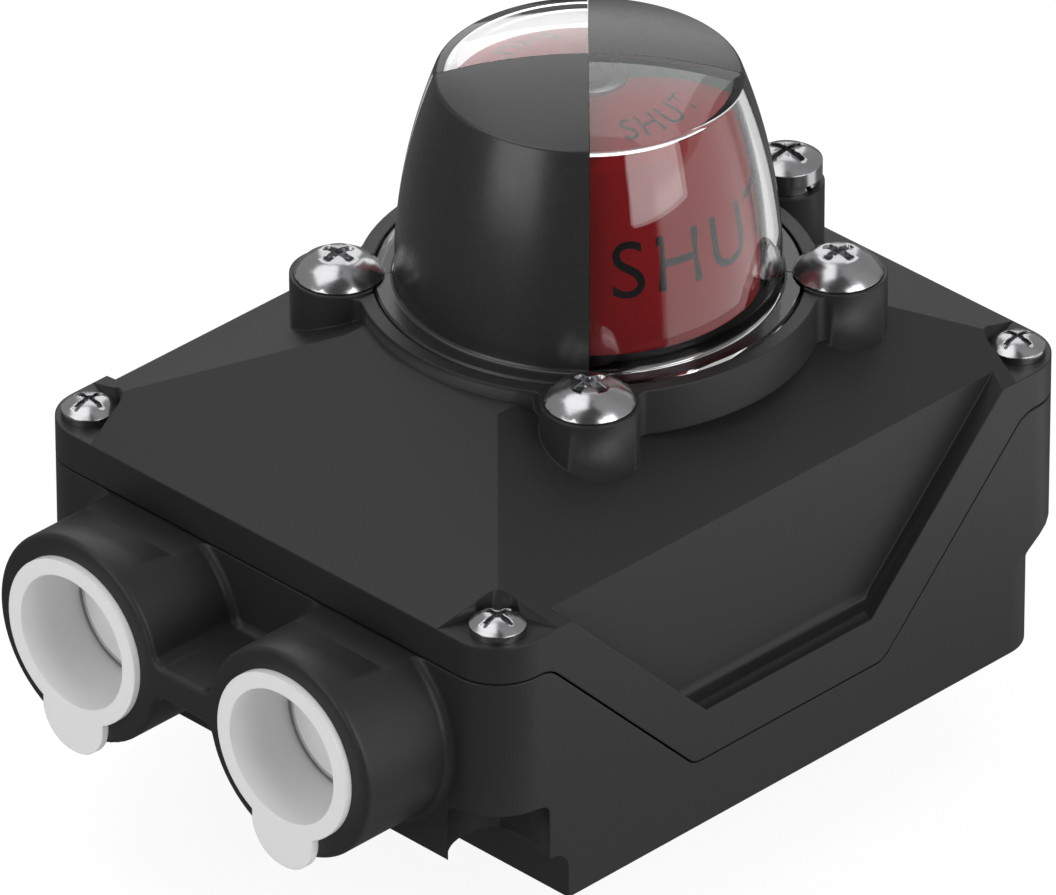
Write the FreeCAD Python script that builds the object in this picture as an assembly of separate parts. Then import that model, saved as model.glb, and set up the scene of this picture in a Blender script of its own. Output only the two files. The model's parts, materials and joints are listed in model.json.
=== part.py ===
import FreeCAD, Part
import os
from math import cos, hypot, pi, radians, sin, sqrt, tan
from FreeCAD import Vector

# Valve limit switch box: a two-part housing with a rotary position beacon on top.
# Millimetres. The origin is on the shaft axis at the mounting face under the foot, +Z runs up
# along the shaft and -Y is the side of the two conduit entries.

# Housing: plan
box_width = 89.0
front_reach = 62.0
back_reach = 49.0
corner_radius = 7.5
side_wall = 10.0
end_wall = 4.5
foot_front = 48.8
foot_back = 43.9
foot_back_corner = 6.5
foot_cove = 3.0
cavity_corner = 3.0

# Housing: heights
foot_height = 7.7
parting_height = 37.4
roof_edge_height = 43.2
beacon_seat_rise = 14.8
seam = 0.3
floor_thickness = 4.0
roof_thickness = 3.5
roof_angle = 22.3
roof_run = 30.0

# Cover skirt on both sides and the pocket sunk in it
skirt_height = 10.4
skirt_end_margin = 9.9
skirt_thickness = 5.4
skirt_angle = 45.0
skirt_low_round = 3.0
skirt_high_round = 5.0
pocket_depth = 3.0
pocket_low = 20.8
pocket_margin = 3.5
pocket_cove = 2.9
pocket_top_drop = 4.0

# Conduit entries
entry_inset = 24.35
entry_height = 24.8
entry_boss_radius = 15.25
entry_reach = 77.2
entry_bore = 10.45
entry_web = 4.8
boss_edge = 0.8
boss_cove = 1.2
web_cove = 2.0
boss_land = 5.4
transit_rim = 12.2
transit_rim_thickness = 1.1
transit_depth = 12.0
transit_wall = 0.6
transit_floor = 2.3
transit_groove = 0.5
transit_groove_depth = 1.0
transit_tab_width = 11.5
transit_tab_reach = 5.0

# Corner screws of the cover
cover_screw_inset = 5.5
cover_screw_shank = 2.0
cover_screw_head = 3.85
cover_screw_head_height = 2.7
scoop_radius = 6.8
scoop_height = 16.8
scoop_roof = 3.5
footing_wall = 3.0
screw_tip_gap = 1.9
ledge_low = 3.7
ledge_high = 0.9
ledge_roof = 2.5
scoop_cove = 1.6
recess_radius = 4.5
recess_flare = 15.0
pillar_radius = 7.8
ring_recess_radius = 3.7
ring_recess_depth = 1.2
retainer_width = 1.3
retainer_thickness = 0.8
retainer_slack = 0.02

# Beacon seat on the cover
seat_ring_radius = 31.6
seat_ring_drop = 0.3
beacon_screw_offset = 23.9
beacon_boss_radius = 6.75
beacon_screw_head = 6.2
beacon_screw_head_height = 3.4
truss_lip = 0.25
beacon_screw_shank = 2.5
beacon_screw_length = 9.0
seat_floor_thickness = 4.0
boss_blend = 1.5
stem_radius = 10.0
stem_drop = 4.0
blind_radius = 4.6
bearing_top = 6.5
seal_inset = 0.8
seal_width = 2.2
seal_depth = 1.4
seal_clearance = 0.1

# Earth terminal at the back of the cover
earth_boss_reach = 38.5
earth_boss_radius = 5.3
earth_boss_drop = 1.8
earth_washer_radius = 4.6
earth_washer_thickness = 1.3
earth_screw_head = 5.0
earth_screw_head_height = 3.8
earth_screw_shank = 2.0
earth_screw_length = 8.0
earth_web_width = 6.0
earth_web_drop = 2.0
earth_blind_radius = 4.2
earth_washer_slit = 0.7
inner_earth_washer_radius = 4.4
inner_earth_washer_thickness = 1.0
washer_slack = 0.15
earth_post_side = 8.0
earth_post_back = 19.4
earth_post_top = 15.0

# Beacon dome
dome_flange_radius = 29.2
dome_flange_thickness = 2.9
dome_base_radius = 26.4
dome_foot_flare = 0.6
dome_barrel_radius = 88.3
dome_height = 34.1
dome_rim_round = 1.5
dome_crown = 3.0
dome_wall = 2.0
dome_top_wall = 1.6

# Indicator drum and its spindle
drum_gap = 1.1
drum_wall = 1.5
drum_top_below_dome = 4.5
drum_crown = 2.6
drum_hub = 8.6
drum_skirt_lift = 1.2
drum_bore = 2.1
spindle_flange_thickness = 1.6
spindle_table_rim = 1.5
spindle_table_depth = 5.0
spindle_clip_thickness = 0.8
spindle_clip_groove = 0.6
spindle_clip_width = 1.8
spindle_clip_mouth = 3.0
clip_slack = 0.02
cover_bush_rim = 1.8
spindle_radius = 4.0
spindle_column = 5.0
spindle_table = 8.0
spindle_flange = 9.5
dog_width = 2.8
dog_depth = 3.6
indicator_screw_head = 3.6
indicator_screw_head_height = 1.9
indicator_screw_shank = 2.0
indicator_screw_length = 8.0
indicator_washer_radius = 5.2
indicator_washer_thickness = 0.6

# Main shaft, its bearing and the cams
stub_radius = 6.0
shaft_radius = 6.5
shaft_stub = 14.0
tongue_length = 6.0
tongue_width = 4.0
tongue_reach = 5.5
running_gap = 0.05
bush_radius = 8.5
bush_flange = 10.5
bush_flange_thickness = 1.5
bearing_boss = 12.0
bearing_height = 15.0
collar_radius = 9.0
collar_thickness = 0.9
spline_root = 4.2
spline_tip = 4.8
spline_teeth = 20
shaft_top = 40.0
cam_low_height = 17.8
cam_thickness = 4.4
cam_pitch = 11.0
cam_high = 11.5
cam_low = 9.9
cam_gap = 0.15
cam_web = 2.0
spring_seat = 8.0
spring_radius = 6.6
spring_wire = 0.45
spring_turns = 4.0
cam_clip_groove = 0.9
cam_clip_bite = 0.5
cam_clip_width = 1.6
cam_clip_mouth = 3.2
seal_low = 0.6
seal_high = 3.0

# Snap-action switches
switch_length = 27.8
switch_height = 15.9
switch_thickness = 10.3
switch_face = 18.0
switch_end = 8.0
switch_hole = 1.6
switch_slack = 0.1
switch_hole_pitch = 22.2
switch_hole_depth = 11.5
lever_thickness = 0.5
lever_width = 4.0
lever_nose = 2.4
lever_pivot_face = 0.8
lever_pivot_along = 17.0
lever_pin = 0.8
plunger_along = 9.0
plunger_radius = 1.2
plunger_length = 4.5
blade_length = 6.5
bracket_thickness = 1.5
bracket_ear = 7.5
bracket_ear_hole = 3.5
bracket_corner = 2.0
switch_corner = 0.8
post_radius = 4.0
small_head = 2.8
small_head_height = 1.9
small_shank = 1.5
small_length = 6.0
head_clearance = 0.4

# Terminal strip
strip_poles = 8
strip_side_gap = 3.5
strip_end = 6.2
strip_depth = 14.0
strip_height = 13.0
strip_seat = 14.0
strip_reach = 37.0
strip_foot = 3.0
strip_screw_inset = 3.0
strip_chamfer = 2.5
strip_chamfer_drop = 4.0
strip_slit = 0.8
strip_slit_depth = 2.2
strip_well_radius = 1.9
well_offset = 3.1
clamp_width = 3.8
clamp_height = 5.0
clamp_lift = 2.0
clamp_slack = 0.1
clamp_end = 1.5
clamp_bore = 1.3
clamp_bore_rise = 2.0
clamp_screw_head = 1.7
clamp_screw_head_height = 1.1
clamp_screw_shank = 1.1
clamp_screw_length = 3.0

# Mounting pattern
mount_circle = 50.0
mount_hole = 2.55
mount_depth = 10.0
mount_boss = 6.0
mount_boss_rise = 8.0

# Gasket
gasket_width = 2.0
gasket_height = 1.65
gasket_gap = 0.1
groove_depth = 1.4

half_width = box_width / 2
beacon_seat_height = roof_edge_height + beacon_seat_rise
pocket_top = beacon_seat_height - pocket_top_drop
screw_hole_bottom = scoop_height + scoop_roof
cover_screw_length = roof_edge_height - screw_hole_bottom - screw_tip_gap
box_length = front_reach + back_reach
mid_y = (back_reach - front_reach) / 2
cover_bottom = parting_height + seam
roof_tan = tan(radians(roof_angle))
skirt_slope = radians(skirt_angle)
skirt_bottom_half = box_length / 2 - skirt_end_margin - (cover_bottom - skirt_height) / tan(skirt_slope)
entry_spacing = box_width - 2 * entry_inset
strip_length = box_width - 2 * side_wall - 2 * strip_side_gap
strip_pitch = (strip_length - 2 * strip_end) / strip_poles
strip_screw_spacing = strip_length - 2 * strip_screw_inset
screw_places = [(sx * (half_width - cover_screw_inset), y)
                for sx in (-1, 1)
                for y in (-front_reach + cover_screw_inset, back_reach - cover_screw_inset)]
beacon_places = [(sx * beacon_screw_offset, sy * beacon_screw_offset) for sx in (-1, 1) for sy in (-1, 1)]
mount_places = [(mount_circle / 2 * cos(radians(a)), mount_circle / 2 * sin(radians(a)))
                for a in (45, 135, 225, 315)]
UP = Vector(0, 0, 1)
BACK = Vector(0, 1, 0)
RIGHT = Vector(1, 0, 0)


# Building blocks
def at_z(z):
    return lambda p: Vector(p.x, p.y, z)


def at_x(x):
    return lambda p: Vector(x, p.x, p.y)


def at_y(y):
    return lambda p: Vector(p.x, y, p.y)


def outline(corners, place):
    """Closed wire through (u, v, radius) corners, each rounded by its own radius."""
    count = len(corners)
    stations = []
    for i, (u, v, radius) in enumerate(corners):
        corner = Vector(u, v, 0)
        before = Vector(corners[i - 1][0] - u, corners[i - 1][1] - v, 0).normalize()
        after = Vector(corners[(i + 1) % count][0] - u, corners[(i + 1) % count][1] - v, 0).normalize()
        if radius <= 0:
            stations.append((corner, None, corner))
            continue
        half = before.getAngle(after) / 2
        centre = corner + (before + after).normalize() * (radius / sin(half))
        middle = centre + (corner - centre).normalize() * radius
        reach = radius / tan(half)
        stations.append((corner + before * reach, middle, corner + after * reach))
    edges = []
    for i, (start, middle, end) in enumerate(stations):
        if middle is not None:
            edges.append(Part.Arc(place(start), place(middle), place(end)).toShape())
        following = stations[(i + 1) % count][0]
        if (following - end).Length > 1e-6:
            edges.append(Part.LineSegment(place(end), place(following)).toShape())
    return Part.Wire(edges)


def block(corners, place, along):
    return Part.Face(outline(corners, place)).extrude(along)


def rectangle(x0, y0, x1, y1, radius=0):
    return [(x0, y0, radius), (x1, y0, radius), (x1, y1, radius), (x0, y1, radius)]


def box(x0, y0, z0, x1, y1, z1):
    return Part.makeBox(x1 - x0, y1 - y0, z1 - z0, Vector(x0, y0, z0))


def rod(radius, x, y, z0, z1):
    return Part.makeCylinder(radius, z1 - z0, Vector(x, y, z0), UP)


def tube(outer, inner, x, y, z0, z1):
    return rod(outer, x, y, z0, z1).cut(rod(inner, x, y, z0 - 1, z1 + 1))


def turned(points, start=0.0, sweep=360.0):
    """Solid of revolution about +Z from (radius, z) points; a point of three is an arc's middle."""
    edges = []
    previous = Vector(points[0][0], 0, points[0][1])
    first = previous
    pending = None
    for point in points[1:]:
        here = Vector(point[0], 0, point[1])
        if len(point) == 3:
            pending = here
            continue
        if pending is not None:
            edges.append(Part.Arc(previous, pending, here).toShape())
            pending = None
        else:
            edges.append(Part.LineSegment(previous, here).toShape())
        previous = here
    edges.append(Part.LineSegment(previous, first).toShape())
    solid = Part.Face(Part.Wire(edges)).revolve(Vector(0, 0, 0), UP, sweep)
    solid.rotate(Vector(0, 0, 0), UP, start)
    return solid


def moved(shape, x=0.0, y=0.0, z=0.0):
    copy = shape.copy()
    copy.translate(Vector(x, y, z))
    return copy


def spun(shape, degrees, x=0.0, y=0.0):
    copy = shape.copy()
    copy.rotate(Vector(x, y, 0), UP, degrees)
    return copy


def rounded(shape, radius, inside):
    """Fillets the edges that lie wholly where inside(point) holds."""
    return shape.makeFillet(radius, [e for e in shape.Edges if all(inside(p) for p in e.discretize(5))])


def near(value, target):
    return abs(value - target) < 0.01


def mirrored(shape):
    return shape.mirror(Vector(0, 0, 0), RIGHT)


def joined(shapes):
    return shapes[0].fuse(shapes[1:]).removeSplitter()


def group(shapes):
    return Part.makeCompound(shapes)


def save(name, shape):
    shape.exportStep("parts/" + name + ".step")


def cross_recess(width, span, top, depth):
    """Two crossed slots sunk from the top of a screw head."""
    arm = box(-span / 2, -width / 2, top - depth, span / 2, width / 2, top + depth)
    return arm.fuse(spun(arm, 90))


def cap(radius, low, high):
    """Points of a spherical cap from its middle out to its edge."""
    rise = high - low
    sphere = (radius * radius + rise * rise) / (2 * rise)
    return [(radius * share, high - sphere + sqrt(sphere ** 2 - (radius * share) ** 2))
            for share in (0.0, 0.5, 0.8, 1.0)]


def screw(head, height, side, shank, length):
    """Screw with a straight head edge and a crowned top; its seat is at z 0."""
    return turned(cap(head, side, height) + [(head, 0), (shank, 0), (shank, -length + shank / 2),
                                             (shank / 2, -length), (0, -length)])


def pan_screw(head, height, shank, length, side_share=0.45):
    body = screw(head, height, height * side_share, shank, length)
    return body.cut(cross_recess(head * 0.17, head * 1.25, height, height * 0.45))


def truss_screw(head, height, shank, length):
    body = screw(head, height, truss_lip, shank, length)
    return body.cut(cross_recess(head * 0.16, head * 0.8, height, height * 0.5))


def slotted_screw(head, height, shank, length):
    """Screw with a plain cylindrical head and one slot; its seat is at z 0."""
    body = rod(head, 0, 0, 0, height).fuse(rod(shank, 0, 0, -length, height / 2)).removeSplitter()
    return body.cut(box(-head - 1, -head * 0.18, height * 0.5, head + 1, head * 0.18, height + 1))


# Housing plan shapes
plan = rectangle(-half_width, -front_reach, half_width, back_reach, corner_radius)
cavity_half = half_width - side_wall
cavity_front = -front_reach + end_wall
cavity_back = back_reach - end_wall
cavity_plan = rectangle(-cavity_half, cavity_front, cavity_half, cavity_back, cavity_corner)
plan_column = block(plan, at_z(0), Vector(0, 0, beacon_seat_height + dome_height))


def skirt_outline(gap):
    """Skirt profile in Y and Z, grown all round by gap, with a strip above the parting line."""
    top = cover_bottom - gap
    low = skirt_height - gap
    low_half = skirt_bottom_half + gap * tan(skirt_slope / 2)
    top_half = low_half + (top - low) / tan(skirt_slope)
    lug = skirt_high_round + 3
    above = top + gap + 2
    return [(mid_y - top_half - lug, above, 0), (mid_y - top_half - lug, top, 0),
            (mid_y - top_half, top, skirt_high_round - gap), (mid_y - low_half, low, skirt_low_round + gap),
            (mid_y + low_half, low, skirt_low_round + gap), (mid_y + top_half, top, skirt_high_round - gap),
            (mid_y + top_half + lug, top, 0), (mid_y + top_half + lug, above, 0)]


def pocket_outline(grow):
    """Pocket profile in Y and Z, grown all round."""
    low = pocket_low - grow
    half = skirt_bottom_half - pocket_margin + grow * tan(skirt_slope / 2)
    top_half = half + (pocket_top - low) / tan(skirt_slope)
    return [(mid_y - top_half, pocket_top, 0), (mid_y - half, low, 0), (mid_y + half, low, 0),
            (mid_y + top_half, pocket_top, 0)]


# Base housing
def stepped_plan(inset):
    """Outline of the base with its back drawn in."""
    back = back_reach - inset
    corner = corner_radius + (foot_back_corner - corner_radius) * inset / (back_reach - foot_back)
    return [(-half_width, -front_reach, corner_radius), (half_width, -front_reach, corner_radius),
            (half_width, back, corner), (-half_width, back, corner)]


ledge_bottom = scoop_height - ledge_low
ledge_top = scoop_height + ledge_high
ledge_bands = 6
ledge_sections = []
for i in range(ledge_bands + 1):
    share = i / ledge_bands
    inset = (back_reach - foot_back) * (1 + cos(pi * share)) / 2
    height = ledge_bottom + (ledge_top - ledge_bottom) * share
    ledge_sections.append(outline(stepped_plan(inset), at_z(height)))
lower_plan = stepped_plan(back_reach - foot_back)
lower_body = block(lower_plan, at_z(foot_height), Vector(0, 0, ledge_bottom - foot_height))
upper_body = block(plan, at_z(ledge_top), Vector(0, 0, parting_height - ledge_top))
foot = block([(-half_width, -foot_front, 0), (half_width, -foot_front, 0),
              (half_width, foot_back, foot_back_corner), (-half_width, foot_back, foot_back_corner)], at_z(0),
             Vector(0, 0, foot_height + 1))
base_housing = joined([lower_body, Part.makeLoft(ledge_sections, True, True), upper_body, foot])
base_housing = rounded(base_housing, foot_cove,
                       lambda p: near(p.y, -foot_front) and near(p.z, foot_height))
entry_axes = [-entry_spacing / 2, entry_spacing / 2]
land_front = front_reach + boss_land
boss_rise = entry_boss_radius * 2
relief = block([(-front_reach + end_wall, parting_height, 0), (-land_front, parting_height, 0),
                (-land_front - boss_rise, parting_height + boss_rise, 0),
                (-front_reach + end_wall, parting_height + boss_rise, 0)],
               at_x(-half_width), Vector(box_width, 0, 0))
bosses = [Part.makeCylinder(entry_boss_radius, entry_reach - front_reach + end_wall / 2,
                            Vector(x, -entry_reach, entry_height), BACK) for x in entry_axes]
web = box(-entry_spacing / 2, -entry_reach, entry_height - entry_web / 2,
          entry_spacing / 2, -front_reach + 1, entry_height + entry_web / 2)
front_bosses = joined(bosses + [web]).cut(relief)


def off_boss(p):
    """Distance of a point from the nearer conduit boss's skin."""
    return min(hypot(p.x - x, p.z - entry_height) for x in entry_axes) - entry_boss_radius


def at_web_root(p):
    return near(off_boss(p), 0) and near(abs(p.z - entry_height), entry_web / 2)


def at_wall_root(p):
    between = abs(p.x) < entry_spacing / 2 and abs(p.z - entry_height) < entry_web / 2 + web_cove
    return near(p.y, -front_reach) and (near(off_boss(p), 0) or between)


front_bosses = rounded(front_bosses, web_cove, at_web_root)
front_bosses = rounded(front_bosses, boss_edge, lambda p: near(p.y, -entry_reach))
base_housing = rounded(joined([base_housing, front_bosses]), boss_cove, at_wall_root)

pillars = [rod(pillar_radius, x, y, 0, parting_height) for x, y in screw_places]
front_places = [(x, y) for x, y in screw_places if y < 0]
footings = [rod(scoop_radius + footing_wall, x, y, 0, screw_hole_bottom) for x, y in front_places]
ledge = box(-half_width, foot_back - end_wall, 0, half_width, back_reach, scoop_height + ledge_roof)
cavity = block(cavity_plan, at_z(foot_height + floor_thickness), Vector(0, 0, parting_height))
sump = block(rectangle(-cavity_half, -foot_front + end_wall, cavity_half, foot_back - end_wall, cavity_corner),
             at_z(floor_thickness), Vector(0, 0, parting_height))
bearing = rod(bearing_boss, 0, 0, 0, bearing_height)
mount_bosses = [rod(mount_boss, x, y, 0, floor_thickness + mount_boss_rise) for x, y in mount_places]

# Switch assembly frame: the switches lie at +Y, and are drawn at +X and turned by a quarter
switch_low = cam_low_height + cam_thickness / 2 - switch_thickness / 2
bracket_top = switch_low - running_gap
post_top = bracket_top - bracket_thickness
bracket_reach = switch_face + 8.0
post_places = [(switch_end + bracket_ear_hole, bracket_reach),
               (switch_end - switch_length - bracket_ear_hole, bracket_reach)]
posts = [rod(post_radius, x, y, 0, post_top) for x, y in post_places]
strip_post_places = [(sx * strip_screw_spacing / 2, -strip_reach) for sx in (-1, 1)]
strip_posts = [rod(post_radius, x, y, 0, strip_seat) for x, y in strip_post_places]
earth_post = (cavity_half - earth_post_side, foot_back - earth_post_back)
small_hole = small_shank + 2 * running_gap
posts.append(rod(post_radius + 1, earth_post[0], earth_post[1], 0, earth_post_top))
hollow = joined([cavity, sump]).cut(pillars + footings + [bearing, ledge] + mount_bosses + posts + strip_posts)
base_housing = base_housing.cut(hollow)

skirt_depth = skirt_thickness + seam
recess_side = block(skirt_outline(seam), at_x(half_width - skirt_depth), Vector(skirt_depth + 1, 0, 0))
cuts = [recess_side, mirrored(recess_side)]
cove_share = scoop_cove * (1 - sin(pi / 4))
scoop = turned([(0, -1), (scoop_radius, -1), (scoop_radius, scoop_height - scoop_cove),
                (scoop_radius - cove_share, scoop_height - cove_share, 0),
                (scoop_radius - scoop_cove, scoop_height), (0, scoop_height)])
cuts += [moved(scoop, x, y) for x, y in front_places]
cuts += [rod(cover_screw_shank + running_gap, x, y, screw_hole_bottom, parting_height + 1)
         for x, y in screw_places]
cuts += [rod(ring_recess_radius, x, y, parting_height - ring_recess_depth, parting_height + 1)
         for x, y in screw_places]
cuts += [Part.makeCylinder(entry_bore, entry_reach, Vector(x, -entry_reach - 1, entry_height), BACK)
         .common(box(-half_width, -entry_reach - 2, 0, half_width, cavity_front + 1, parting_height))
         for x in entry_axes]
cuts += [rod(mount_hole, x, y, -1, mount_depth) for x, y in mount_places]
cuts += [rod(bush_radius, 0, 0, -1, bearing_height + 1)]
cuts += [rod(small_hole, x, y, post_top - small_length, post_top + 1) for x, y in post_places]
cuts += [rod(small_hole, x, y, strip_seat - small_length, strip_seat + 1) for x, y in strip_post_places]
cuts.append(rod(earth_screw_shank + running_gap, earth_post[0], earth_post[1], earth_post_top - small_length,
                earth_post_top + 1))


def gasket_loop(outer_inset, inner_inset, z0, z1):
    """Loop on the base's rim that runs round the inner side of the four screw pillars."""
    mid_x = (half_width - skirt_depth + cavity_half) / 2
    front = -front_reach + end_wall / 2 + 0.4
    back = back_reach - end_wall / 2 - 0.4
    wide = block(rectangle(-mid_x - outer_inset, front - outer_inset, mid_x + outer_inset, back + outer_inset),
                 at_z(z0), Vector(0, 0, z1 - z0))
    inner = mid_x - inner_inset
    narrow = block(rectangle(-inner, front + inner_inset, inner, back - inner_inset), at_z(z0 - 1),
                   Vector(0, 0, z1 - z0 + 2))
    keep = ring_recess_radius + 1.0 + gasket_width / 2 + gasket_gap
    wide = wide.cut([rod(keep - outer_inset, x, y, z0 - 1, z1 + 1) for x, y in screw_places])
    narrow = narrow.cut([rod(keep + inner_inset, x, y, z0 - 2, z1 + 2) for x, y in screw_places])
    return wide.cut(narrow)


groove_half = gasket_width / 2 + gasket_gap
cuts.append(gasket_loop(groove_half, groove_half, parting_height - groove_depth, parting_height + 1))
base_housing = base_housing.cut(cuts).removeSplitter()
save("base_housing", base_housing)
save("cover_gasket", gasket_loop(gasket_width / 2, gasket_width / 2, parting_height - groove_depth,
                                 parting_height - groove_depth + gasket_height))


# Cover housing
def hip_roof(drop, rise_from):
    """Hipped roof with the box's own slopes, with straight walls down to rise_from."""
    edge = roof_edge_height - drop
    slopes = Part.makeWedge(-half_width, 0, -back_reach, -back_reach + roof_run, -half_width + roof_run,
                            half_width, roof_run * roof_tan, front_reach, front_reach - roof_run,
                            half_width - roof_run)
    slopes.rotate(Vector(0, 0, 0), RIGHT, 90)
    slopes.translate(Vector(0, 0, edge))
    walls = box(-half_width, -front_reach, rise_from, half_width, back_reach, edge)
    return slopes.fuse(walls).removeSplitter()


seat_top = beacon_seat_height - seat_ring_drop
flange_floor = beacon_seat_height - dome_flange_thickness - 0.3
ceiling = flange_floor - seat_floor_thickness
earth_boss_top = beacon_seat_height - earth_boss_drop
shell = hip_roof(0, cover_bottom).common(plan_column)
skirt = block(skirt_outline(0), at_x(half_width - skirt_thickness), Vector(skirt_thickness, 0, 0))
skirt = skirt.common(plan_column)
seat_ring = rod(seat_ring_radius, 0, 0, ceiling, seat_top)
boss_root = roof_edge_height + roof_thickness / 2
beacon_bosses = [rod(beacon_boss_radius, x, y, boss_root, beacon_seat_height) for x, y in beacon_places]
earth_boss = rod(earth_boss_radius, 0, earth_boss_reach, boss_root, earth_boss_top)
earth_web = box(-earth_web_width / 2, 0, boss_root, earth_web_width / 2, earth_boss_reach,
                earth_boss_top - earth_web_drop)
cover = joined([shell, skirt, mirrored(skirt), seat_ring, earth_boss, earth_web] + beacon_bosses)


def at_boss_root(p):
    """On an upright line where a boss or the web behind meets the seat ring or one another."""
    on_ring = near(hypot(p.x, p.y), seat_ring_radius)
    on_beacon_boss = any(near(hypot(p.x - x, p.y - y), beacon_boss_radius) for x, y in beacon_places)
    on_web = near(abs(p.x), earth_web_width / 2)
    on_earth_boss = near(hypot(p.x, p.y - earth_boss_reach), earth_boss_radius)
    return on_ring and (on_beacon_boss or on_web) or on_web and on_earth_boss


cover = rounded(cover, boss_blend, at_boss_root)

attic = block(cavity_plan, at_z(skirt_height), Vector(0, 0, ceiling - skirt_height))
attic = attic.common(hip_roof(roof_thickness / cos(radians(roof_angle)), 0))
stem_bottom = ceiling - stem_drop
stem = rod(stem_radius, 0, 0, stem_bottom, ceiling + 1)
blind = [rod(blind_radius, x, y, 0, beacon_seat_height) for x, y in beacon_places]
blind.append(rod(earth_blind_radius, 0, earth_boss_reach, 0, beacon_seat_height))
upper_zone = box(-half_width, -front_reach, roof_edge_height, half_width, back_reach, beacon_seat_height)
screw_domes = [column.common(upper_zone) for column in blind]
lid_pillars = [rod(pillar_radius, x, y, 0, beacon_seat_height) for x, y in screw_places]
attic = attic.cut(lid_pillars + [stem] + screw_domes)
cover = cover.cut(attic)

pocket_floor = half_width - pocket_depth
pocket = block(pocket_outline(pocket_depth), at_x(pocket_floor), Vector(pocket_depth + 1, 0, 0))
pocket = rounded(pocket, pocket_cove,
                 lambda p: near(p.x, pocket_floor) and p.z < pocket_top - 0.01)


def screw_recess(x, y):
    """Seat of a corner screw: round on the inner side and opening out to both walls."""
    reach = cover_screw_inset + 2
    wide = recess_radius + reach * tan(radians(recess_flare))
    side = 1 if x > 0 else -1
    end = 1 if y > 0 else -1
    corners = [(-recess_radius, 0), (-wide, reach), (reach, reach), (reach, -wide), (0, -recess_radius)]
    mouth = block([(x + side * u, y + end * v, 0) for u, v in corners], at_z(roof_edge_height),
                  Vector(0, 0, beacon_seat_rise))
    return mouth.fuse(rod(recess_radius, x, y, roof_edge_height, beacon_seat_height))


cuts = [pocket, mirrored(pocket)]
for x, y in screw_places:
    cuts.append(screw_recess(x, y))
    cuts.append(rod(cover_screw_shank + seam, x, y, 0, roof_edge_height + 1))
cuts.append(rod(dome_flange_radius + 0.3, 0, 0, flange_floor, beacon_seat_height + 1))
seal_outer = dome_flange_radius - seal_inset
seal_inner = seal_outer - seal_width
cuts.append(tube(seal_outer, seal_inner, 0, 0, flange_floor - seal_depth, flange_floor + 1))
cuts.append(rod(bearing_top, 0, 0, stem_bottom - 1, beacon_seat_height))
screw_grip = beacon_screw_shank + running_gap
cuts += [rod(screw_grip, x, y, beacon_seat_height - beacon_screw_length - 0.5, beacon_seat_height + 1)
         for x, y in beacon_places]
cuts.append(rod(earth_screw_shank + running_gap, 0, earth_boss_reach,
                earth_boss_top + earth_washer_thickness - earth_screw_length - 0.5, earth_boss_top + 1))
cover = cover.cut(cuts).removeSplitter()
save("cover_housing", cover)

# Screws of the cover
cover_screw = pan_screw(cover_screw_head, cover_screw_head_height, cover_screw_shank, cover_screw_length)
save("cover_screws", group([moved(cover_screw, x, y, roof_edge_height) for x, y in screw_places]))
catch = tube(cover_screw_shank + retainer_width, cover_screw_shank + retainer_slack, 0, 0, 0,
             retainer_thickness)
retainer_height = parting_height - (ring_recess_depth + retainer_thickness) / 2
save("screw_retainers", group([moved(catch, x, y, retainer_height) for x, y in screw_places]))
beacon_screw = truss_screw(beacon_screw_head, beacon_screw_head_height, beacon_screw_shank,
                           beacon_screw_length)
save("beacon_screws", group([moved(beacon_screw, x, y, beacon_seat_height) for x, y in beacon_places]))
earth_seat = earth_boss_top + earth_washer_thickness
earth_screw = pan_screw(earth_screw_head, earth_screw_head_height, earth_screw_shank, earth_screw_length, 0.55)
save("earth_screw", moved(earth_screw, 0, earth_boss_reach, earth_seat))
split = box(0, -earth_washer_slit / 2, -1, earth_washer_radius + 1, earth_washer_slit / 2,
            earth_washer_thickness + 1)
split.rotate(Vector(0, 0, 0), RIGHT, 25)
spring_washer = tube(earth_washer_radius, earth_screw_shank + washer_slack, 0, 0, 0, earth_washer_thickness)
save("earth_spring_washer", moved(spring_washer.cut(split), 0, earth_boss_reach, earth_boss_top))

# Beacon dome
dome_seat = flange_floor + seam / 2
dome_flange_top = dome_seat + dome_flange_thickness


def barrel(offset, above):
    """Radius of the dome's barrel side at a height above the beacon seat, less an offset."""
    centre = dome_base_radius - dome_barrel_radius
    return centre + sqrt((dome_barrel_radius - offset) ** 2 - above ** 2)


def side_points(offset, low, high, count):
    """Points up the barrel side, less an offset, between two heights above the beacon seat."""
    heights = [low + (high - low) * i / count for i in range(count + 1)]
    return [(barrel(offset, h), beacon_seat_height + h) for h in heights]


def bow(rim, middle, high, drop):
    """Middle of the arc between a crowned plate's rim and its middle, which is higher by drop."""
    return ((rim + middle) / 2, high - drop / 4, "arc")


def dome_sector(start):
    """Quarter of the dome: flange, barrel side with a rounded rim, and a crowned top."""
    top = beacon_seat_height + dome_height
    shoulder = dome_height - dome_rim_round - dome_crown
    inner_shoulder = dome_height - dome_top_wall - dome_crown
    rim = barrel(0, shoulder)
    foot = 1.0
    outside = side_points(0, foot, shoulder, 4)
    inside = side_points(dome_wall, foot, inner_shoulder, 4)[::-1]
    profile = [(dome_flange_radius, dome_seat), (dome_flange_radius, dome_flange_top),
               (dome_base_radius + dome_foot_flare, dome_flange_top),
               (dome_base_radius, dome_flange_top + dome_foot_flare)] + outside
    profile += [(rim - dome_rim_round * 0.3, top - dome_crown - dome_rim_round * 0.3),
                (rim - dome_rim_round, top - dome_crown)]
    profile += [bow(rim - dome_rim_round, 0, top, dome_crown), (0, top), (0, top - dome_top_wall)]
    profile += [bow(inside[0][0], 0, top - dome_top_wall, dome_crown)] + inside
    profile += [(dome_base_radius - dome_wall, dome_seat)]
    return turned(profile, start, 90)


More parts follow.
